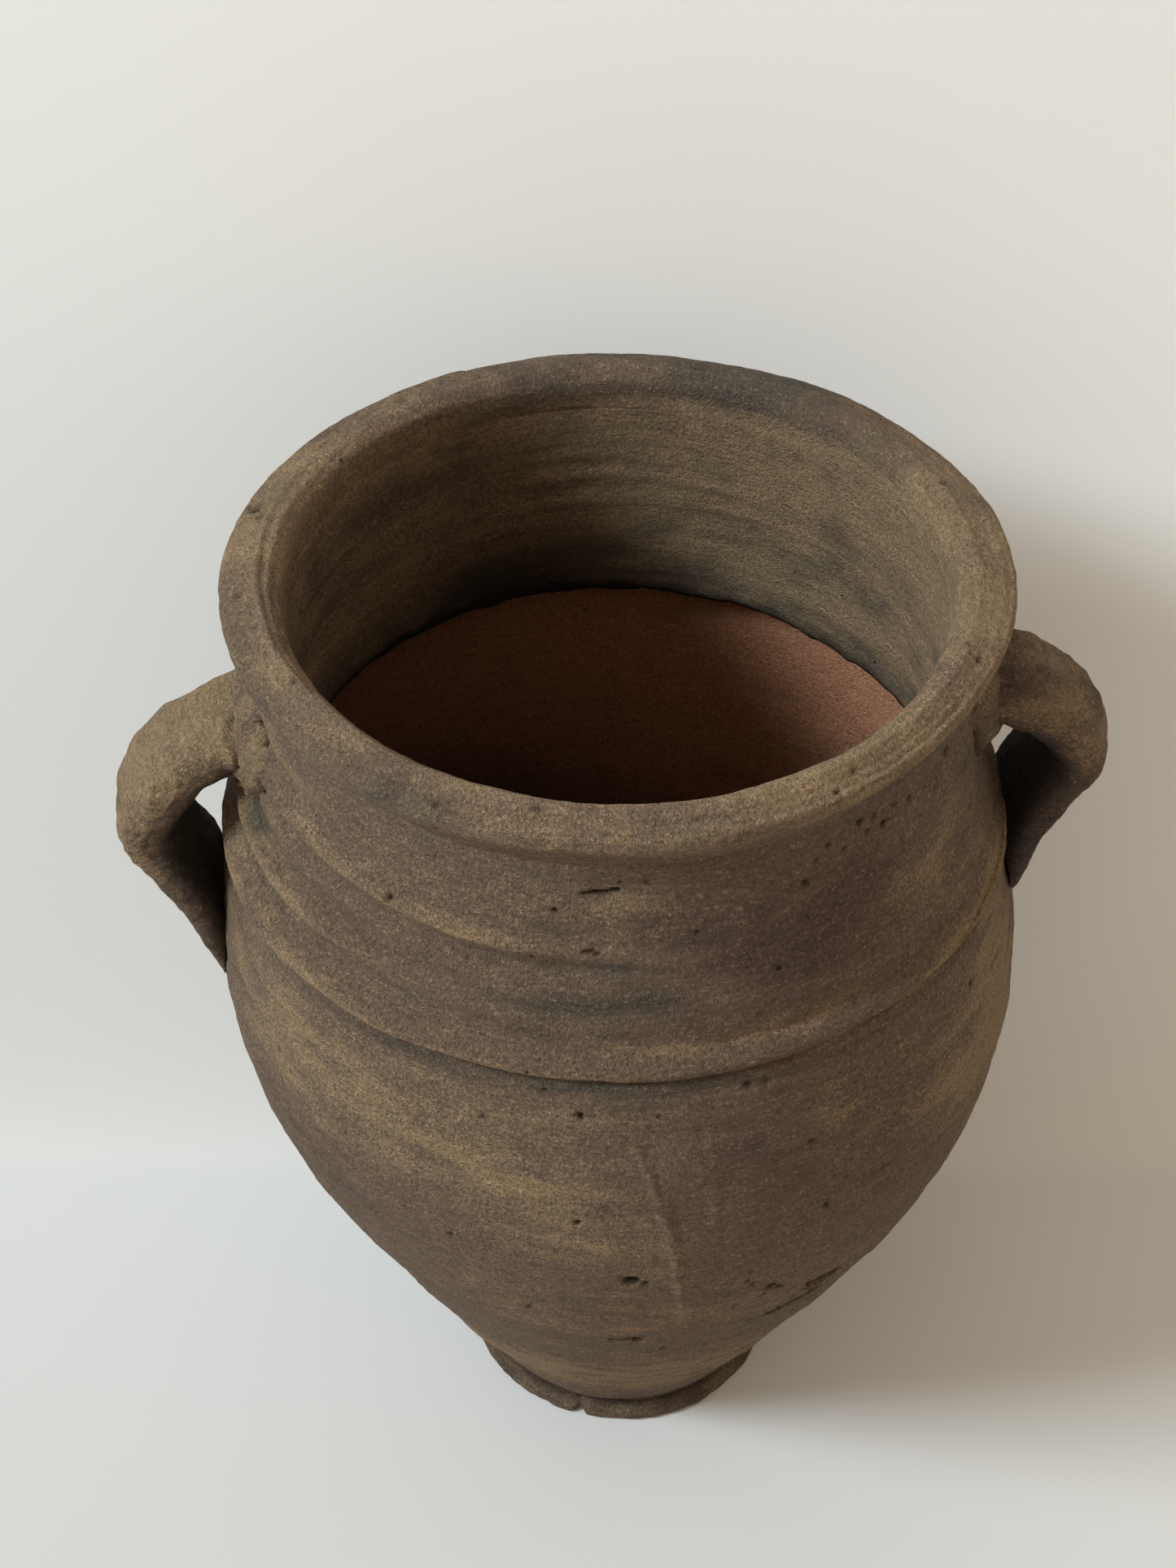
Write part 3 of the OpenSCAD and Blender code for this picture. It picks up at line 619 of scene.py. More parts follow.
def strap_path(reach, root_drop, rise, bow_drop, tail_drop):
    """Middle line of a strap in radius and height: it starts inside the neck's wall, runs over
    from the wad and then down to the belly."""
    top = LIP_HIGH[2]
    rz, bz, tz = top - root_drop, top - bow_drop, top - tail_drop
    root = np.array([float(wall_r(np.array(rz))) + 4.5, rz])
    bow = np.array([reach, bz])
    tail = np.array([float(wall_r(np.array(tz))) - 2.0, tz])
    lean = np.array([math.cos(math.radians(rise)), math.sin(math.radians(rise))])
    deep = root + [-10.0, 1.5]
    inside = bend([deep, deep + [4, 0], root - 4 * lean, root], np.linspace(0, 1, 12)[:-1])
    upper = bend([root, root + 11 * lean, bow + [0, 8], bow], np.linspace(0, 1, 60)[:-1])
    lower = bend([bow, bow - [0, 13], tail + [0, 38], tail], np.linspace(0, 1, 96))
    return np.vstack([inside, upper, lower])


def strap_grid(path, widths, thicks, columns):
    """Carries a full oval section along the path. Row by row, the section's width lies along the
    side and its thickness across the path's direction, both from curves of the share travelled."""
    way = np.gradient(path, axis=0)
    way /= np.linalg.norm(way, axis=1, keepdims=True)
    travelled = np.concatenate([[0], np.cumsum(np.linalg.norm(np.diff(path, axis=0), axis=1))])
    s = travelled / travelled[-1]
    turn = np.linspace(0, 2 * math.pi, columns, endpoint=False)
    ca = np.sign(np.cos(turn)) * np.abs(np.cos(turn)) ** 0.83
    sa = np.sign(np.sin(turn)) * np.abs(np.sin(turn)) ** 0.83
    w, t = through(s, widths)[:, None] / 2, through(s, thicks)[:, None] / 2
    x = path[:, 0][:, None] - way[:, 1][:, None] * t * sa
    z = path[:, 1][:, None] + way[:, 0][:, None] * t * sa
    return np.stack([x, w * ca, z], -1), s, sa, ca


def rest_on_wall(grid, gap):
    """Moves points out along their radius until they clear the wall by the gap."""
    r = np.hypot(grid[..., 0], grid[..., 1])
    k = np.maximum(1, (wall_r(grid[..., 2]) + gap) / r)
    out = grid.copy()
    out[..., :2] *= k[..., None]
    return out


def turned_about(grid, degrees):
    a = math.radians(degrees)
    out = grid.copy()
    out[..., 0] = grid[..., 0] * math.cos(a) - grid[..., 1] * math.sin(a)
    out[..., 1] = grid[..., 0] * math.sin(a) + grid[..., 1] * math.cos(a)
    return out


def grid_normals(grid):
    """Outward normals of a tube's grid, from its two neighbours each way."""
    du = np.gradient(grid, axis=0)
    dv = np.roll(grid, -1, 1) - np.roll(grid, 1, 1)
    n = np.cross(du, dv)
    n /= np.linalg.norm(n, axis=-1, keepdims=True) + 1e-9
    middle = grid.mean(1, keepdims=True)
    return n * np.sign(((grid - middle) * n).sum(-1).mean())


HANDLES = {
    "right": dict(reach=122.5, root_drop=38, rise=0, bow_drop=56, tail_drop=107, turn=0, seed=60, bright=0.55),
    "left": dict(reach=125.5, root_drop=43, rise=-20, bow_drop=70, tail_drop=128, turn=187.5, seed=70, bright=1.1),
}


def build_strap(side, material, grain):
    """One pulled strap: the carried section with lumps and grain along its normals, its upper end
    flared into the wad and its lower end pressed on the wall; a crumbly ridge runs along the left
    one's front edge."""
    h = HANDLES[side]
    front = 1 if side == "left" else -1
    path = strap_path(h["reach"], h["root_drop"], h["rise"], h["bow_drop"], h["tail_drop"])
    widths = [(0, 34), (0.06, 32), (0.16, 32.5), (0.35, 35), (0.7, 35), (0.88, 36.5), (0.94, 34), (0.98, 24),
              (1, 12)]
    thicks = [(0, 14.5), (0.08, 14.5), (0.16, 14.5), (0.35, 16), (0.7, 15.0), (0.88, 10), (0.96, 6), (1, 3)]
    grid, s, sa, ca = strap_grid(path, widths, thicks, 144)
    normal = grid_normals(grid)
    q = grid + h["seed"]
    out = 0.6 * waves(q, 30, 61) + 0.35 * waves(q, 13, 62)
    out += grain * (0.18 * waves(q, 6, 63) + 0.11 * waves(q, 2.8, 64))
    pulled = q * np.array([1.0, 1.0, 0.25])
    out += 0.2 * waves(pulled, 6, 65)
    edge = np.exp(-((front * ca - 0.86) / 0.10) ** 2) * (sa > 0)
    if side == "left":
        along = step(s, 0.12, 0.2) * (1 - step(s, 0.42, 0.6))
        crumbs = 0.7 + 1.6 * np.maximum(0, waves(q, 3.4, 66)) + 0.7 * waves(q, 7, 76)
        out += 0.9 * edge * along[:, None] * crumbs
        out += (1.5 * np.exp(-((s[:, None] - 0.27) / 0.09) ** 2) - 1.3 * np.exp(-((s[:, None] - 0.04) / 0.07) ** 2)) * (
            np.maximum(0, sa))
        out += 1.5 * np.exp(-((s[:, None] - 0.072 - 0.03 * ca - 0.01 * waves(q, 9, 77)) / 0.013) ** 2) * (sa > -0.3) * (
            ca > -0.2)
    else:
        out += 0.5 * edge * step(s, 0.1, 0.2)[:, None] * (1 - step(s, 0.4, 0.6))[:, None]
        lump = ((s[:, None] - 0.16) / 0.015) ** 2 + ((ca - 0.55) / 0.12) ** 2
        out += 1.6 * np.exp(-lump) * (sa > 0)
    grid = grid + normal * out[..., None]
    # Only the lower half is laid on the wall; the upper end runs into the wad
    film = -20 * (1 - step(s, 0.5, 0.62))[:, None] + 0.1 + 1.4 * (1 + sa) / 2
    grid = rest_on_wall(grid, film)
    tone = strap_tone(grid + h["seed"], sa, ca * front, s[:, None], h["bright"])
    grid = turned_about(grid, h["turn"])
    piece = closed_mesh("strap_" + side, bowed(grid), tone, False)
    finish_piece(piece, "handle_" + side, material)


def strap_tone(p, sa, front, s, bright):
    """Ochre on the outer face of the upper half, partly rubbed clay and partly painted light; soot and painted shade
    inside the bend and on the lower half, darkest at its front.
    """
    lower = step(s, 0.35, 0.75)
    # Ochre and painted light: the outer face is lighter than the inside of the bend
    ochre = bright * (0.95 * (sa > 0) + 0.1) + 0.5 * waves(p, 16, 67) + 0.2 * waves(p, 5, 75) - 0.9 * lower
    # Soot and painted shade inside the bend and on the lower half
    soot = 0.5 * step(-sa, -0.1, 0.5) + 0.45 * waves(p, 20, 68) + 0.25 * lower + 0.3 * (1 - bright)
    # Painted shade inside the bend and on the lower half's front
    dark = 0.6 * step(-sa, 0.1, 0.8) + 0.45 * lower * step(front, 0.0, 0.7)
    return tones(p, ochre, soot, 0.35 + 0.4 * waves(p, 24, 69), np.clip(dark, 0, 1))


def build_wad(side, material, grain):
    """Oval pad of clay between strap and neck: rings of growing share of its half width and
    half height, full in the middle and thin at its torn edge."""
    h = HANDLES[side]
    root_z = LIP_HIGH[2] - h["root_drop"]
    turn = np.linspace(0, 2 * math.pi, 200, endpoint=False)
    ca = np.sign(np.cos(turn)) * np.abs(np.cos(turn)) ** 0.83
    sa = np.sign(np.sin(turn)) * np.abs(np.sin(turn)) ** 0.83
    share = np.concatenate([np.linspace(0.03, 1, 40), np.linspace(1, 0.03, 8)])[:, None]
    outside = np.concatenate([np.ones(40), np.zeros(8)])[:, None]
    crumbly = 1.0 if side == "left" else 0.4
    ragged = 1 + crumbly * (0.04 * np.sin(3 * turn + h["seed"]) + 0.03 * np.sin(7 * turn) + 0.025 * np.sin(19 * turn)
                            + 0.02 * np.sin(31 * turn + 1))
    y = share * 24.5 * ca * ragged
    z = root_z + share * 14.0 * sa * ragged
    flat = np.stack([wall_r(z) + 0 * y, y, z + 0 * y], -1)
    pad = 0.5 + 5.5 * (1 - step(share, 0.6, 1.03)) + crumbly * 1.3 * np.exp(-((share - 0.92) / 0.05) ** 2)
    rough = waves(flat, 7, 71) * 0.5 + crumbly * np.maximum(-0.2, waves(flat, 3, 72)) * 0.7 * step(share, 0.6, 0.9)
    r = wall_r(z) + np.where(outside > 0, np.maximum(pad + rough * (0.3 + share), -0.4), -1.2)
    x = np.sqrt(np.maximum(r**2 - y**2, 1))
    grid = np.stack([x, y + 0 * x, z + 0 * x], -1)
    # Painted shade under the pad's torn lower edge
    tone = tones(grid, h["bright"] * 0.8 + 0.5 * waves(grid, 12, 73), 0.2 + 0.4 * waves(grid, 15, 74), 0.2,
                 0.6 * step(share, 0.86, 1.0) * (sa < 0.2))
    grid = turned_about(grid, h["turn"])
    piece = closed_mesh("wad_" + side, bowed(grid), tone, False)
    finish_piece(piece, "root_wad_" + side, material)


# ---------------------------------------------------------------- clay materials

def clay(name, colours, inside=False, ochre_lift=0.0, gain=1.0):
    """Fired clay: brown ground, then purple brown, ochre and soot laid over it where the tone attribute and three sizes
    of noise say, pale grains, painted light and shade of the grain's relief, painted shade in the pits and where the
    attribute's dark channel says, and a grainy bump."""
    material = bpy.data.materials.new(name)
    material.use_nodes = True
    tree = material.node_tree
    tree.nodes.clear()

    def node(kind, **values):
        made = tree.nodes.new(kind)
        for key, value in values.items():
            if isinstance(key, str) and hasattr(made, key):
                setattr(made, key, value)
            else:
                made.inputs[key].default_value = value
        return made

    def link(a, b):
        tree.links.new(a, b)

    def noise(size, detail=3.0, roughness=0.55, squash=None):
        made = node("ShaderNodeTexNoise")
        made.inputs["Scale"].default_value = size
        made.inputs["Detail"].default_value = detail
        made.inputs["Roughness"].default_value = roughness
        source = coords.outputs["Object"]
        if squash:
            mapping = node("ShaderNodeMapping")
            mapping.inputs["Scale"].default_value = squash
            link(source, mapping.inputs["Vector"])
            source = mapping.outputs["Vector"]
        link(source, made.inputs["Vector"])
        return made.outputs["Fac"]

    def maths(kind, a, b=None, c=None):
        made = node("ShaderNodeMath", operation=kind)
        for place, value in enumerate((a, b, c)):
            if value is None:
                continue
            if isinstance(value, (int, float)):
                made.inputs[place].default_value = value
            else:
                link(value, made.inputs[place])
        return made.outputs[0]

    def band(value, low, high):
        made = node("ShaderNodeMapRange", interpolation_type="SMOOTHSTEP")
        link(value, made.inputs["Value"])
        made.inputs["From Min"].default_value = low
        made.inputs["From Max"].default_value = high
        return made.outputs["Result"]

    def mix(share, a, b):
        made = node("ShaderNodeMix", data_type="RGBA")
        for place, value in (("A", a), ("B", b)):
            socket = next(s for s in made.inputs if s.name == place and s.type == "RGBA")
            if isinstance(value, (tuple, list)):
                socket.default_value = (*value[:3], 1)
            else:
                link(value, socket)
        link(share, made.inputs[0])
        return next(s for s in made.outputs if s.type == "RGBA")

    coords = node("ShaderNodeTexCoord")
    attribute = node("ShaderNodeAttribute", attribute_name="clay_tone")
    split = node("ShaderNodeSeparateColor")
    link(attribute.outputs["Color"], split.inputs[0])
    ochre_tone, soot_tone, umber_tone = split.outputs[0], split.outputs[1], split.outputs[2]
    dark_tone = attribute.outputs["Alpha"]

    broad = noise(34, 4)
    middle = noise(150, 4, 0.6)
    drawn = noise(110, 4, 0.6, (0.35, 0.35, 2.2))
    grain = noise(960, 4, 0.74)
    fine = noise(2100, 2, 0.6)
    combed = noise(480, 3, 0.7, (0.4, 0.4, 2.4))
    wobble = maths("ADD", maths("MULTIPLY_ADD", drawn, 1.3, -0.65), maths("MULTIPLY_ADD", middle, 1.1, -0.55))
    speck = maths("ADD", maths("MULTIPLY_ADD", grain, 1.1, -0.55), maths("MULTIPLY_ADD", fine, 0.8, -0.4))
    jitter = maths("ADD", maths("ADD", wobble, speck), maths("MULTIPLY_ADD", broad, 0.6, -0.3))

    brown, ochre, soot, umber, terra = (tuple(c) for c in (
        colours.brown, colours.ochre, colours.soot, colours.umber, colours.terracotta))
    umber_share = band(maths("ADD", umber_tone, jitter), 0.0, 1.1)
    ground = mix(umber_share, brown, umber)
    ochre_share = band(maths("ADD", maths("ADD", ochre_tone, ochre_lift), jitter), 0.05, 1.25)
    laid = mix(maths("MULTIPLY", ochre_share, 0.85), ground, ochre)
    soot_share = band(maths("ADD", soot_tone, maths("MULTIPLY", jitter, 0.8)), 0.2, 1.1)
    laid = mix(maths("MULTIPLY", soot_share, 0.75), laid, soot)
    if inside:
        red_share = band(maths("MULTIPLY", soot_tone, -1.0), 0.2, 0.8)
        stained = mix(band(maths("ADD", umber_tone, maths("MULTIPLY", jitter, 0.5)), 0.2, 1.2), terra, umber)
        laid = mix(red_share, laid, stained)

    height = maths("ADD", maths("MULTIPLY", grain, 0.66), maths("MULTIPLY", fine, 0.38))
    height = maths("ADD", height, maths("MULTIPLY", combed, 0.26))
    # Raised grains are rubbed pale. Then the colour is multiplied by the grain's height, lighter on raised grains and
    # darker in the hollows: painted light and shade of the relief, with dust and soot in the hollows.
    pale = band(height, 0.70, 0.82)
    laid = mix(maths("MULTIPLY", pale, 0.38), laid, tuple(min(1, c * 1.4) for c in ochre))
    shade = node("ShaderNodeMix", data_type="RGBA", blend_type="MULTIPLY")
    shade.inputs[0].default_value = 1.0
    link(laid, next(s for s in shade.inputs if s.name == "A" and s.type == "RGBA"))
    link(maths("MULTIPLY_ADD", height, 3.7 * gain, -1.22 * gain), next(s for s in shade.inputs if s.name == "B" and s.type == "RGBA"))
    laid = next(s for s in shade.outputs if s.type == "RGBA")

    holes = node("ShaderNodeTexVoronoi", feature="F1")
    holes.inputs["Scale"].default_value = 95
    holes.inputs["Randomness"].default_value = 1.0
    link(coords.outputs["Object"], holes.inputs["Vector"])
    chosen = node("ShaderNodeSeparateColor")
    link(holes.outputs["Color"], chosen.inputs[0])
    rare = band(chosen.outputs[0], 0.90, 0.93)
    hole = maths("MULTIPLY", band(holes.outputs["Distance"], 0.075, 0.045), rare)
    # Painted shade in the rare pits
    laid = mix(maths("MULTIPLY", hole, 0.75), laid, tuple(c * 0.30 for c in umber))
    # The attribute's dark channel: painted shade in hollows, creases and sides away from the window, with some dirt on
    # the foot
    laid = mix(dark_tone, laid, tuple(c * 0.16 for c in umber))

    shader = node("ShaderNodeBsdfPrincipled")
    link(laid, shader.inputs["Base Color"])
    shader.inputs["Roughness"].default_value = 0.92
    shader.inputs["Specular IOR Level"].default_value = 0.18
    height = maths("ADD", height, maths("MULTIPLY", middle, 0.3))
    height = maths("SUBTRACT", height, maths("MULTIPLY", hole, 1.6))
    bump = node("ShaderNodeBump")
    bump.inputs["Strength"].default_value = 1.0
    bump.inputs["Distance"].default_value = 0.0042
    link(height, bump.inputs["Height"])
    link(bump.outputs["Normal"], shader.inputs["Normal"])
    out = node("ShaderNodeOutputMaterial")
    link(shader.outputs["BSDF"], out.inputs["Surface"])
    return material


def clay_once(name, **words):
    """The named clay, made the first time that a piece asks for it."""
    found = bpy.data.materials.get(name)
    return found or clay(name, bpy.context.scene.jar_colours, **words)


# ---------------------------------------------------------------- operators

class JarOperator:
    bl_options = {"REGISTER", "UNDO"}


class OBJECT_OT_jar_foot(JarOperator, bpy.types.Operator):
    """Foot: a slab with a ragged flange and the floor of the inside"""
    bl_idname = "object.jar_foot"
    bl_label = "Jar foot"

    def execute(self, context):
        sizes = context.scene.jar_sizes
        radius, half = sizes.foot_d / 2, 2.25
        plug = float(inner_r(np.array(FOOT_CREASE_Z))) - 0.2
        flange = arc((radius - half, half), half, -90, 62, 14)
        flange[0, 1] = 0.0
        under = np.stack([np.linspace(0.5, radius - half, 24)[:-1], np.zeros(23)], -1)
        neckline = np.array([flange[-1], [51.4, 5.2], [50.2, 6.1], [49.4, 6.9], [48.4, 7.0]])[1:]
        top = np.array([[44.0, 7.0], [plug, 7.0], [plug, 7.2], [plug, FLOOR_Z - 0.3], [plug - 0.4, FLOOR_Z]])
        floor = np.stack([np.linspace(plug - 1.5, 0.5, 20), np.full(20, FLOOR_Z)], -1)
        outline = np.vstack([under, flange, neckline, top, floor])
        grid = spun(outline, 420)
        a = bearing(grid)
        r = outline[:, 0][:, None]
        ragged = 0.35 * waves(grid * [1, 1, 0.2], 26, 81) + 0.2 * waves(grid * [1, 1, 0.5], 9, 82)
        ragged += 0.14 * waves(grid, 4, 83)
        chip = 2.4 * np.exp(-(around(a, -15) / 2.0) ** 2) + 1.0 * np.exp(-(around(a, 62) / 5) ** 2)
        rim = step(r, 46, 51) * (outline[:, 1][:, None] < 6.6)
        k = 1 + (ragged - chip - 0.4) * rim / np.maximum(r, 1)
        grid[..., :2] *= k[..., None]
        grid[..., 2] += rim * 0.5 * waves(grid, 14, 84) * (outline[:, 1][:, None] > 1.2)
        # Painted shade in the crease above the flange and on the floor inside; grime is dirt at random
        inside = step(outline[:, 1], 11, 12.5)[:, None]
        crease = step(outline[:, 1], 5.0, 6.4)[:, None] * (1 - inside)
        grime = 0.08 + 0.22 * waves(grid, 12, 86)
        tone = tones(grid, 0.3 + 0.4 * waves(grid, 18, 85), 0.5 - 1.5 * inside, 0.5 + 0 * inside,
                     np.clip(np.maximum(0.6 * crease + 0.5 * inside, grime), 0, 1))
        piece = closed_mesh("foot_slab", bowed(grid), tone, False)
        finish_piece(piece, "foot_disc", clay_once("clay_inside", inside=True))
        return {"FINISHED"}


class OBJECT_OT_jar_lower_wall(JarOperator, bpy.types.Operator):
    """Lower wall from the foot to the seam, with the torn seam at the right"""
    bl_idname = "object.jar_lower_wall"
    bl_label = "Jar lower wall"

    def execute(self, context):
        grain = context.scene.jar_sizes.grain
        ring = wall_ring(FOOT_CREASE_Z, SEAM_Z, FOOT_CREASE_Z + 0.2, SEAM_Z + 5, inner_r, 0.95, 4.0)
        piece = dressed_wall("lower_wall", ring, 600, belly_inside_tone, grain)
        finish_piece(piece, "base_cone", clay_once("clay_inside", inside=True))
        return {"FINISHED"}


class OBJECT_OT_jar_belly(JarOperator, bpy.types.Operator):
    """Belly wall from the seam to the crease under the bead"""
    bl_idname = "object.jar_belly"
    bl_label = "Jar belly"

    def execute(self, context):
        grain = context.scene.jar_sizes.grain
        ring = wall_ring(SEAM_Z, CREASE_Z, SEAM_Z + 5, CREASE_Z + 0.5, inner_r, 0.95, 5.0)
        piece = dressed_wall("belly_wall", ring, 570, belly_inside_tone, grain)
        finish_piece(piece, "belly", clay_once("clay_inside", inside=True))
        return {"FINISHED"}


class OBJECT_OT_jar_collar(JarOperator, bpy.types.Operator):
    """Neck and shoulder skirt with its bead outside and its rough lower edge inside"""
    bl_idname = "object.jar_collar"
    bl_label = "Jar collar"

    def execute(self, context):
        grain = context.scene.jar_sizes.grain
        outline, n_out, n_top, n_in = wall_ring(
            CREASE_Z, NECK_TOP_Z, THROAT_Z, NECK_TOP_Z + 4, collar_inner_r, 0.62, 1.4)
        piece = dressed_wall("collar_wall", (outline, n_out, n_top, n_in), 620, collar_inside_tone, grain, 0.7)
        finish_piece(piece, "neck_collar", clay_once("clay_outside"))
        return {"FINISHED"}


class OBJECT_OT_jar_lip(JarOperator, bpy.types.Operator):
    """Rolled lip with its wavy edge, finger lines and nick"""
    bl_idname = "object.jar_lip"
    bl_label = "Jar lip"

    def execute(self, context):
        grain = context.scene.jar_sizes.grain
        outline = lip_outline()
        flat = spun(outline, 900)
        a = bearing(flat)
        r = outline[:, 0][:, None]
        turned = flat * np.array([0.10, 0.10, 1.0])
        amount = 0.30 * waves(flat, 60, 1) + 0.16 * waves(flat, 20, 91)
        amount += grain * (0.10 * waves(flat, 8, 3) + 0.06 * waves(flat, 3.2, 4))
        amount += 0.13 * np.sin(r * 2.1 + 1.2 * waves(flat, 45, 92)) + 0.10 * waves(turned, 5, 93)
        for a0, a1, r0, r1, half, high in LIP_LINES:
            middle, reach = (a0 + a1) / 2, abs(a1 - a0) / 2
            off = around(a, middle)
            line = (r0 + r1) / 2 + (r1 - r0) / 2 * np.clip(off / reach, -1, 1)
            on_top = outline[:, 1][:, None] > 318
            amount += on_top * high * np.exp(-((r - line) / half) ** 2) * (
                1 - step(np.abs(off), 0.75 * reach, reach))
        for a0, r0, wide, deep in LIP_MARKS:
            d = (np.radians(around(a, a0)) * r) ** 2 + (r - r0) ** 2
            amount -= deep * np.exp(-d / wide**2) * (outline[:, 1][:, None] > 316)
        hold = np.ones(len(outline))
        hold[-3:-1] = 0
        n = outline_normals(outline, True)
        n[0] = n[-1] = (1, 0)
        amount = amount * hold[:, None]
        amount[0] = wall_relief(flat[0], grain)
        amount[-1] = amount[0]
        # Near its two lower edges the lip carries on the relief of the neck's outside and inside
        ease = step(outline[:, 1], NECK_TOP_Z, NECK_TOP_Z + 4)[:, None]
        low = np.arange(len(outline))[:, None] < 14
        amount = np.where(low, amount * ease + wall_relief(flat[:1], grain) * (1 - ease), amount)
        bore = (np.arange(len(outline)) >= len(outline) - 12) & (r[:, 0] < MOUTH_R + 0.6)
        n[bore] = (-1, 0)
        ease = step(outline[:, 1], NECK_TOP_Z + 4, NECK_TOP_Z + 10)[:, None]
        amount = np.where(bore[:, None], amount * ease + inner_relief(flat, grain) * (1 - ease), amount)
        # At the front the lip is narrower: its outer edge runs up to 4.4 mm further in
        foot_r = np.where(np.arange(len(outline))[:, None] < 14, 90.75, 86.0)
        inward = through(a, LIP_NARROW) * np.clip((r - foot_r) / (100 - foot_r), 0, 1)
        radial = flat[..., :2] / np.linalg.norm(flat[..., :2], axis=-1, keepdims=True)
        moved = flat.copy()
        moved[..., :2] += radial * (n[:, 0][:, None] * amount - inward)[..., None]
        moved[..., 2] += n[:, 1][:, None] * amount - 0.5
        # The rim lies a little lower at the right and at the back
        moved[..., 2] += step(outline[:, 1], 311, 322)[:, None] * (-0.0072 * flat[..., 0] - 0.0033 * flat[..., 1])
        inner = (1 - step(outline[:, 1], 313, 324)) * (r[:, 0] < MOUTH_R + 3)
        tone = lip_tone(flat) * (1 - inner[:, None, None]) + collar_inside_tone(flat) * inner[:, None, None]
        # The underside carries the neck's tones
        beneath = ((1 - step(outline[:, 1], 312, 319.5)) * (np.arange(len(outline)) < 14))[:, None, None]
        tone = tone * (1 - beneath) + outside_tones(flat) * beneath
        piece = closed_mesh("lip_roll", bowed(moved), tone, True)
        finish_piece(piece, "rim_band", clay_once("clay_lip", gain=1.12))
        return {"FINISHED"}


# How much further in the lip's outer edge lies, in millimetres, over the bearing
LIP_NARROW = [(-180, 0), (-90, 0), (-70, 1.2), (-45, 3.0), (-15, 3.6), (15, 4.0), (40, 4.4), (62, 3.4), (85, 0),
              (180, 0)]
# Lines on the lip's top: from bearing, to bearing, radius there and there, half width, stands out
LIP_LINES = [(-122, -50, 91.5, 88.5, 0.7, 0.9), (-60, 60, 95.2, 95.2, 0.8, -0.45), (-30, 75, 91.5, 91.5, 0.9, 0.3),
             (60, 150, 93.5, 94.5, 1.2, -0.15), (150, 250, 92.5, 92.5, 1.2, -0.4), (-48, 20, 97.6, 97.2, 0.7, 0.4),
             (20, 62, 97.4, 97.4, 0.8, -0.7), (205, 222, 96.5, 96.5, 1.6, 0.9)]
# Pits and nicks of the lip: bearing, radius, half width, depth
LIP_MARKS = [(-104, 96.5, 2.0, 2.0), (-101, 93.5, 1.1, 1.0), (-11, 91.5, 0.9, 1.0), (-140, 92, 1.6, 0.6),
             (68, 95, 0.9, 0.9), (112, 91, 0.9, 0.8), (-58, 90, 0.8, 0.7), (-82, 95, 0.9, 0.8), (36, 94, 0.8, 0.7),
             (32, 97.5, 0.8, 0.8), (70, 90.5, 0.8, 0.8), (-25, 97.5, 0.7, 0.6)]


def lip_tone(p):
    """Ochre where the lip is rubbed, grey green at the left front and at the back, and painted shade in its pits and
    nicks.
    """
    a = bearing(p)
    turned = p * np.array([0.3, 0.3, 1.0])
    ochre = 0.5 + 0.25 * waves(turned, 14, 94) + 0.25 * waves(p, 20, 97) + 0.4 * np.exp(-(around(a, 30) / 34) ** 2)
    ochre = ochre + 0.5 * np.exp(-(around(a, 90) / 30) ** 2) + 0.3 * np.exp(-(around(a, -105) / 30) ** 2)
    ochre = ochre - 0.6 * np.exp(-(around(a, 175) / 45) ** 2)
    edge = np.exp(-((np.hypot(p[..., 0], p[..., 1]) - 98) / 4) ** 2) * np.exp(-(around(a, -70) / 50) ** 2)
    soot = 0.25 + 0.25 * waves(p, 24, 95) + 0.2 * np.exp(-(around(a, -45) / 24) ** 2) + 0.3 * edge
    soot = soot + 0.6 * np.exp(-(around(a, 165) / 36) ** 2) + 0.15 * np.exp(-(around(a, 108) / 10) ** 2)
    umber = 0.25 + 0.35 * waves(p, 30, 96) + 0.45 * np.exp(-(around(a, -90) / 40) ** 2)
    umber = umber + 0.3 * np.exp(-(around(a, 60) / 20) ** 2)
    # Painted shade in the pits and nicks of the lip's top
    dark = np.zeros(a.shape)
    r = np.hypot(p[..., 0], p[..., 1])
    for a0, r0, wide, deep in LIP_MARKS:
        d = (np.radians(around(a, a0)) * r) ** 2 + (r - r0) ** 2
        dark = np.maximum(dark, 0.75 * np.exp(-d / wide**2) * (deep > 0))
    return tones(p, ochre, soot, umber, dark * (p[..., 2] > 316))


class OBJECT_OT_jar_handles(JarOperator, bpy.types.Operator):
    """Both strap handles and the wads that bed their upper ends on the neck"""
    bl_idname = "object.jar_handles"
    bl_label = "Jar handles"

    def execute(self, context):
        grain = context.scene.jar_sizes.grain
        material = clay_once("clay_handle", ochre_lift=0.0)
        for side in HANDLES:
            build_strap(side, material, grain)
            build_wad(side, material, grain)
        return {"FINISHED"}


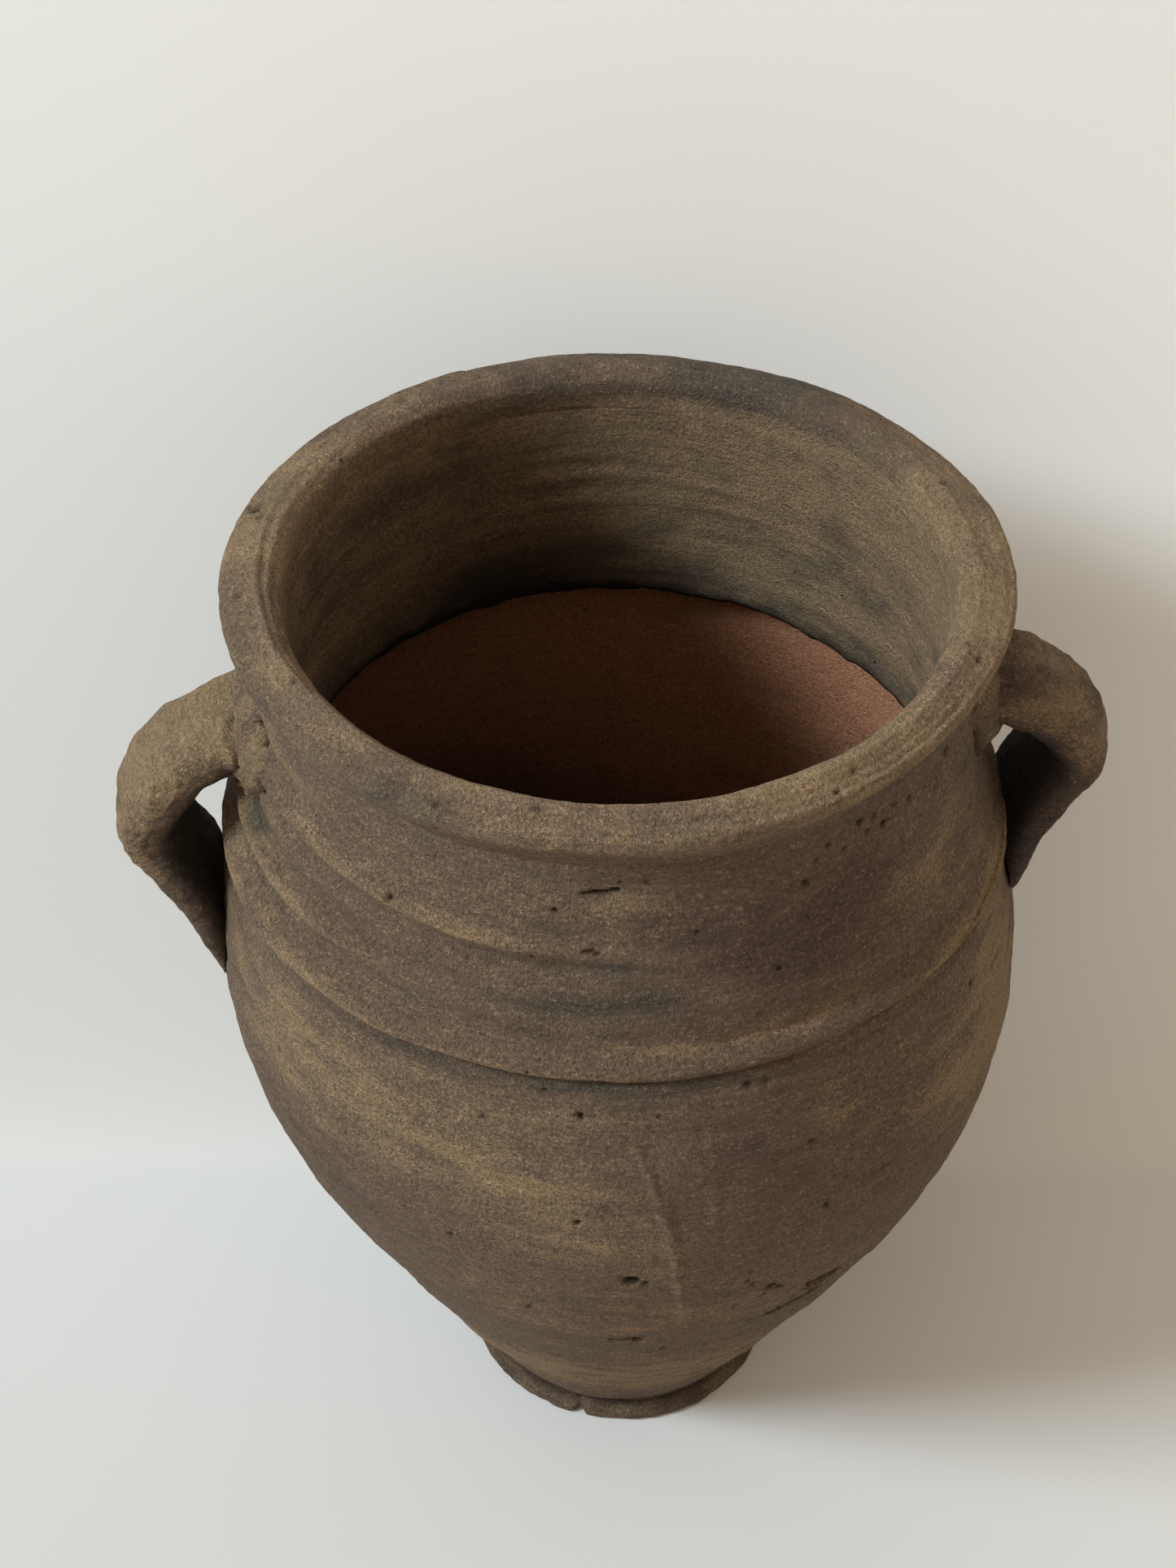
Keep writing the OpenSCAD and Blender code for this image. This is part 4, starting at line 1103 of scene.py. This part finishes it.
class OBJECT_OT_jar_stage(JarOperator, bpy.types.Operator):
    """Pale floor, soft light from the front left, faint warm fill and the camera"""
    bl_idname = "object.jar_stage"
    bl_label = "Jar stage"

    def execute(self, context):
        scene = context.scene
        # Paper: level under the jar, then curving up behind it as a parabola
        back = np.concatenate([[-4.0, SWEEP_FROM], SWEEP_FROM + 0.33 * np.linspace(0, 1, 90)[1:]])
        rise = np.maximum(0, back - SWEEP_FROM) ** 2 / (2 * SWEEP_R)
        across = np.linspace(-4, 4, 9)
        points = np.stack([np.tile(across, len(back)), np.repeat(back, 9), np.repeat(rise, 9)], -1)
        faces = [(r * 9 + c, r * 9 + c + 1, r * 9 + c + 10, r * 9 + c + 9)
                 for r in range(len(back) - 1) for c in range(8)]
        mesh = bpy.data.meshes.new("paper")
        mesh.from_pydata(points.tolist(), [], faces)
        mesh.shade_smooth()
        floor = bpy.data.objects.new("paper", mesh)
        scene.collection.objects.link(floor)
        paint = bpy.data.materials.new("floor_paint")
        paint.use_nodes = True
        tree = paint.node_tree
        shader = tree.nodes["Principled BSDF"]
        shader.inputs["Roughness"].default_value = 0.9
        shader.inputs["Specular IOR Level"].default_value = 0.1
        # Painted light: paler to the right and up the sweep, where the paper is lit more brightly; the height along it
        # is y + z
        place = tree.nodes.new("ShaderNodeTexCoord")
        along = tree.nodes.new("ShaderNodeVectorMath")
        along.operation = "DOT_PRODUCT"
        tree.links.new(place.outputs["Object"], along.inputs[0])
        along.inputs[1].default_value = (*PAPER_FADE, PAPER_FADE[1])
        fade = tree.nodes.new("ShaderNodeMapRange")
        tree.links.new(along.outputs["Value"], fade.inputs["Value"])
        for name, value in (("From Min", -0.2), ("From Max", 0.33), ("To Min", 0.8), ("To Max", 1.33)):
            fade.inputs[name].default_value = value
        tinted = tree.nodes.new("ShaderNodeVectorMath")
        tinted.operation = "SCALE"
        tinted.inputs[0].default_value = scene.jar_colours.paper
        tree.links.new(fade.outputs["Result"], tinted.inputs["Scale"])
        tree.links.new(tinted.outputs["Vector"], shader.inputs["Base Color"])
        # Seen from behind, the sweep is clear, so that it never hides the jar
        side = tree.nodes.new("ShaderNodeNewGeometry")
        clear = tree.nodes.new("ShaderNodeBsdfTransparent")
        choice = tree.nodes.new("ShaderNodeMixShader")
        tree.links.new(side.outputs["Backfacing"], choice.inputs[0])
        tree.links.new(shader.outputs["BSDF"], choice.inputs[1])
        tree.links.new(clear.outputs["BSDF"], choice.inputs[2])
        tree.links.new(choice.outputs["Shader"], tree.nodes["Material Output"].inputs["Surface"])
        mesh.materials.append(paint)
        # The same paper lies under the sweep too, for looks from behind
        under = bpy.data.meshes.new("under")
        under.from_pydata([(x, y, -0.0004) for x, y in ((-4, -4), (4, -4), (4, 4), (-4, 4))], [], [(0, 1, 2, 3)])
        plain = bpy.data.materials.new("under_paint")
        plain.use_nodes = True
        plain.node_tree.nodes["Principled BSDF"].inputs["Base Color"].default_value = (
            *scene.jar_colours.paper, 1)
        plain.node_tree.nodes["Principled BSDF"].inputs["Roughness"].default_value = 0.9
        under.materials.append(plain)
        table = bpy.data.objects.new("under", under)
        scene.collection.objects.link(table)

        world = bpy.data.worlds.new("room")
        world.use_nodes = True
        fill = world.node_tree.nodes["Background"]
        fill.inputs["Color"].default_value = (*WORLD_TINT, 1)
        fill.inputs["Strength"].default_value = WORLD_LIGHT
        # The camera sees the paper's colour where the paper ends
        seen = world.node_tree.nodes.new("ShaderNodeBackground")
        seen.inputs["Color"].default_value = (*scene.jar_colours.paper, 1)
        ray = world.node_tree.nodes.new("ShaderNodeLightPath")
        either = world.node_tree.nodes.new("ShaderNodeMixShader")
        shares = [ray.outputs[kind] for kind in ("Is Camera Ray", "Is Glossy Ray", "Is Transmission Ray")]
        for share in shares[1:]:
            most = world.node_tree.nodes.new("ShaderNodeMath")
            most.operation = "MAXIMUM"
            world.node_tree.links.new(shares[0], most.inputs[0])
            world.node_tree.links.new(share, most.inputs[1])
            shares[0] = most.outputs[0]
        world.node_tree.links.new(shares[0], either.inputs[0])
        world.node_tree.links.new(fill.outputs["Background"], either.inputs[1])
        world.node_tree.links.new(seen.outputs["Background"], either.inputs[2])
        world.node_tree.links.new(either.outputs["Shader"], world.node_tree.nodes["World Output"].inputs["Surface"])
        scene.world = world

        lamp = bpy.data.lights.new("window", "AREA")
        lamp.shape = "RECTANGLE"
        lamp.size, lamp.size_y = KEY_SIZE
        lamp.energy = KEY_POWER
        lamp.color = KEY_TINT
        window = bpy.data.objects.new("window", lamp)
        scene.collection.objects.link(window)
        aim = Vector((0, 0, 0.2))
        across, up = math.radians(KEY_BEARING), math.radians(KEY_RISE)
        way = Vector((math.sin(across) * math.cos(up), -math.cos(across) * math.cos(up), math.sin(up)))
        window.location = aim + way * KEY_DISTANCE
        window.rotation_euler = way.to_track_quat("Z", "Y").to_euler()

        eye = bpy.data.cameras.new("camera")
        eye.lens = 49.92
        eye.sensor_width = 36
        eye.clip_start = 0.01
        camera = bpy.data.objects.new("camera", eye)
        scene.collection.objects.link(camera)
        turn = (Matrix.Rotation(0.0179, 4, "Z") @ Matrix.Rotation(math.pi / 2 - 0.7697, 4, "X")
                @ Matrix.Rotation(-0.0066, 4, "Z"))
        camera.matrix_world = Matrix.Translation((-0.0010, -0.4297, 0.6639)) @ turn
        scene.camera = camera
        scene.view_settings.view_transform = "Standard"
        return {"FINISHED"}


# Window light: bearing and rise in degrees, distance, width and height in metres, watts, tint
KEY_BEARING, KEY_RISE, KEY_DISTANCE, KEY_SIZE, KEY_POWER = -70.0, 39.4, 2.75, (0.74, 0.62), 87.0
KEY_TINT = (0.75, 0.86, 0.96)
# Warm light of the room from all sides
WORLD_TINT, WORLD_LIGHT = (1.0, 0.82, 0.65), 0.64
SWEEP_FROM, SWEEP_R = 0.046, 0.019
# Way in which the paper's painted light grows paler
PAPER_FADE = (0.48, 0.53)


class VIEW3D_PT_jar(bpy.types.Panel):
    """Buttons that build the jar, piece by piece"""
    bl_idname = "VIEW3D_PT_jar"
    bl_label = "Olive jar"
    bl_space_type = "VIEW_3D"
    bl_region_type = "UI"
    bl_category = "Olive jar"

    def draw(self, context):
        for group in (context.scene.jar_sizes, context.scene.jar_colours):
            for name in type(group).__annotations__:
                self.layout.prop(group, name)
        for operator in OPERATORS:
            self.layout.operator(operator.bl_idname)


OPERATORS = (OBJECT_OT_jar_foot, OBJECT_OT_jar_lower_wall, OBJECT_OT_jar_belly, OBJECT_OT_jar_collar,
             OBJECT_OT_jar_lip, OBJECT_OT_jar_handles, OBJECT_OT_jar_stage)
CLASSES = (JarSizes, ClayColours, *OPERATORS, VIEW3D_PT_jar)


def register():
    for kind in CLASSES:
        bpy.utils.register_class(kind)
    bpy.types.Scene.jar_sizes = bpy.props.PointerProperty(type=JarSizes)
    bpy.types.Scene.jar_colours = bpy.props.PointerProperty(type=ClayColours)


def unregister():
    del bpy.types.Scene.jar_sizes
    del bpy.types.Scene.jar_colours
    for kind in reversed(CLASSES):
        bpy.utils.unregister_class(kind)


def main():
    register()
    for operator in OPERATORS:
        group, name = operator.bl_idname.split(".")
        if getattr(getattr(bpy.ops, group), name)() != {"FINISHED"}:
            raise RuntimeError(operator.bl_label + " was not built")


if __name__ == "__main__":
    main()
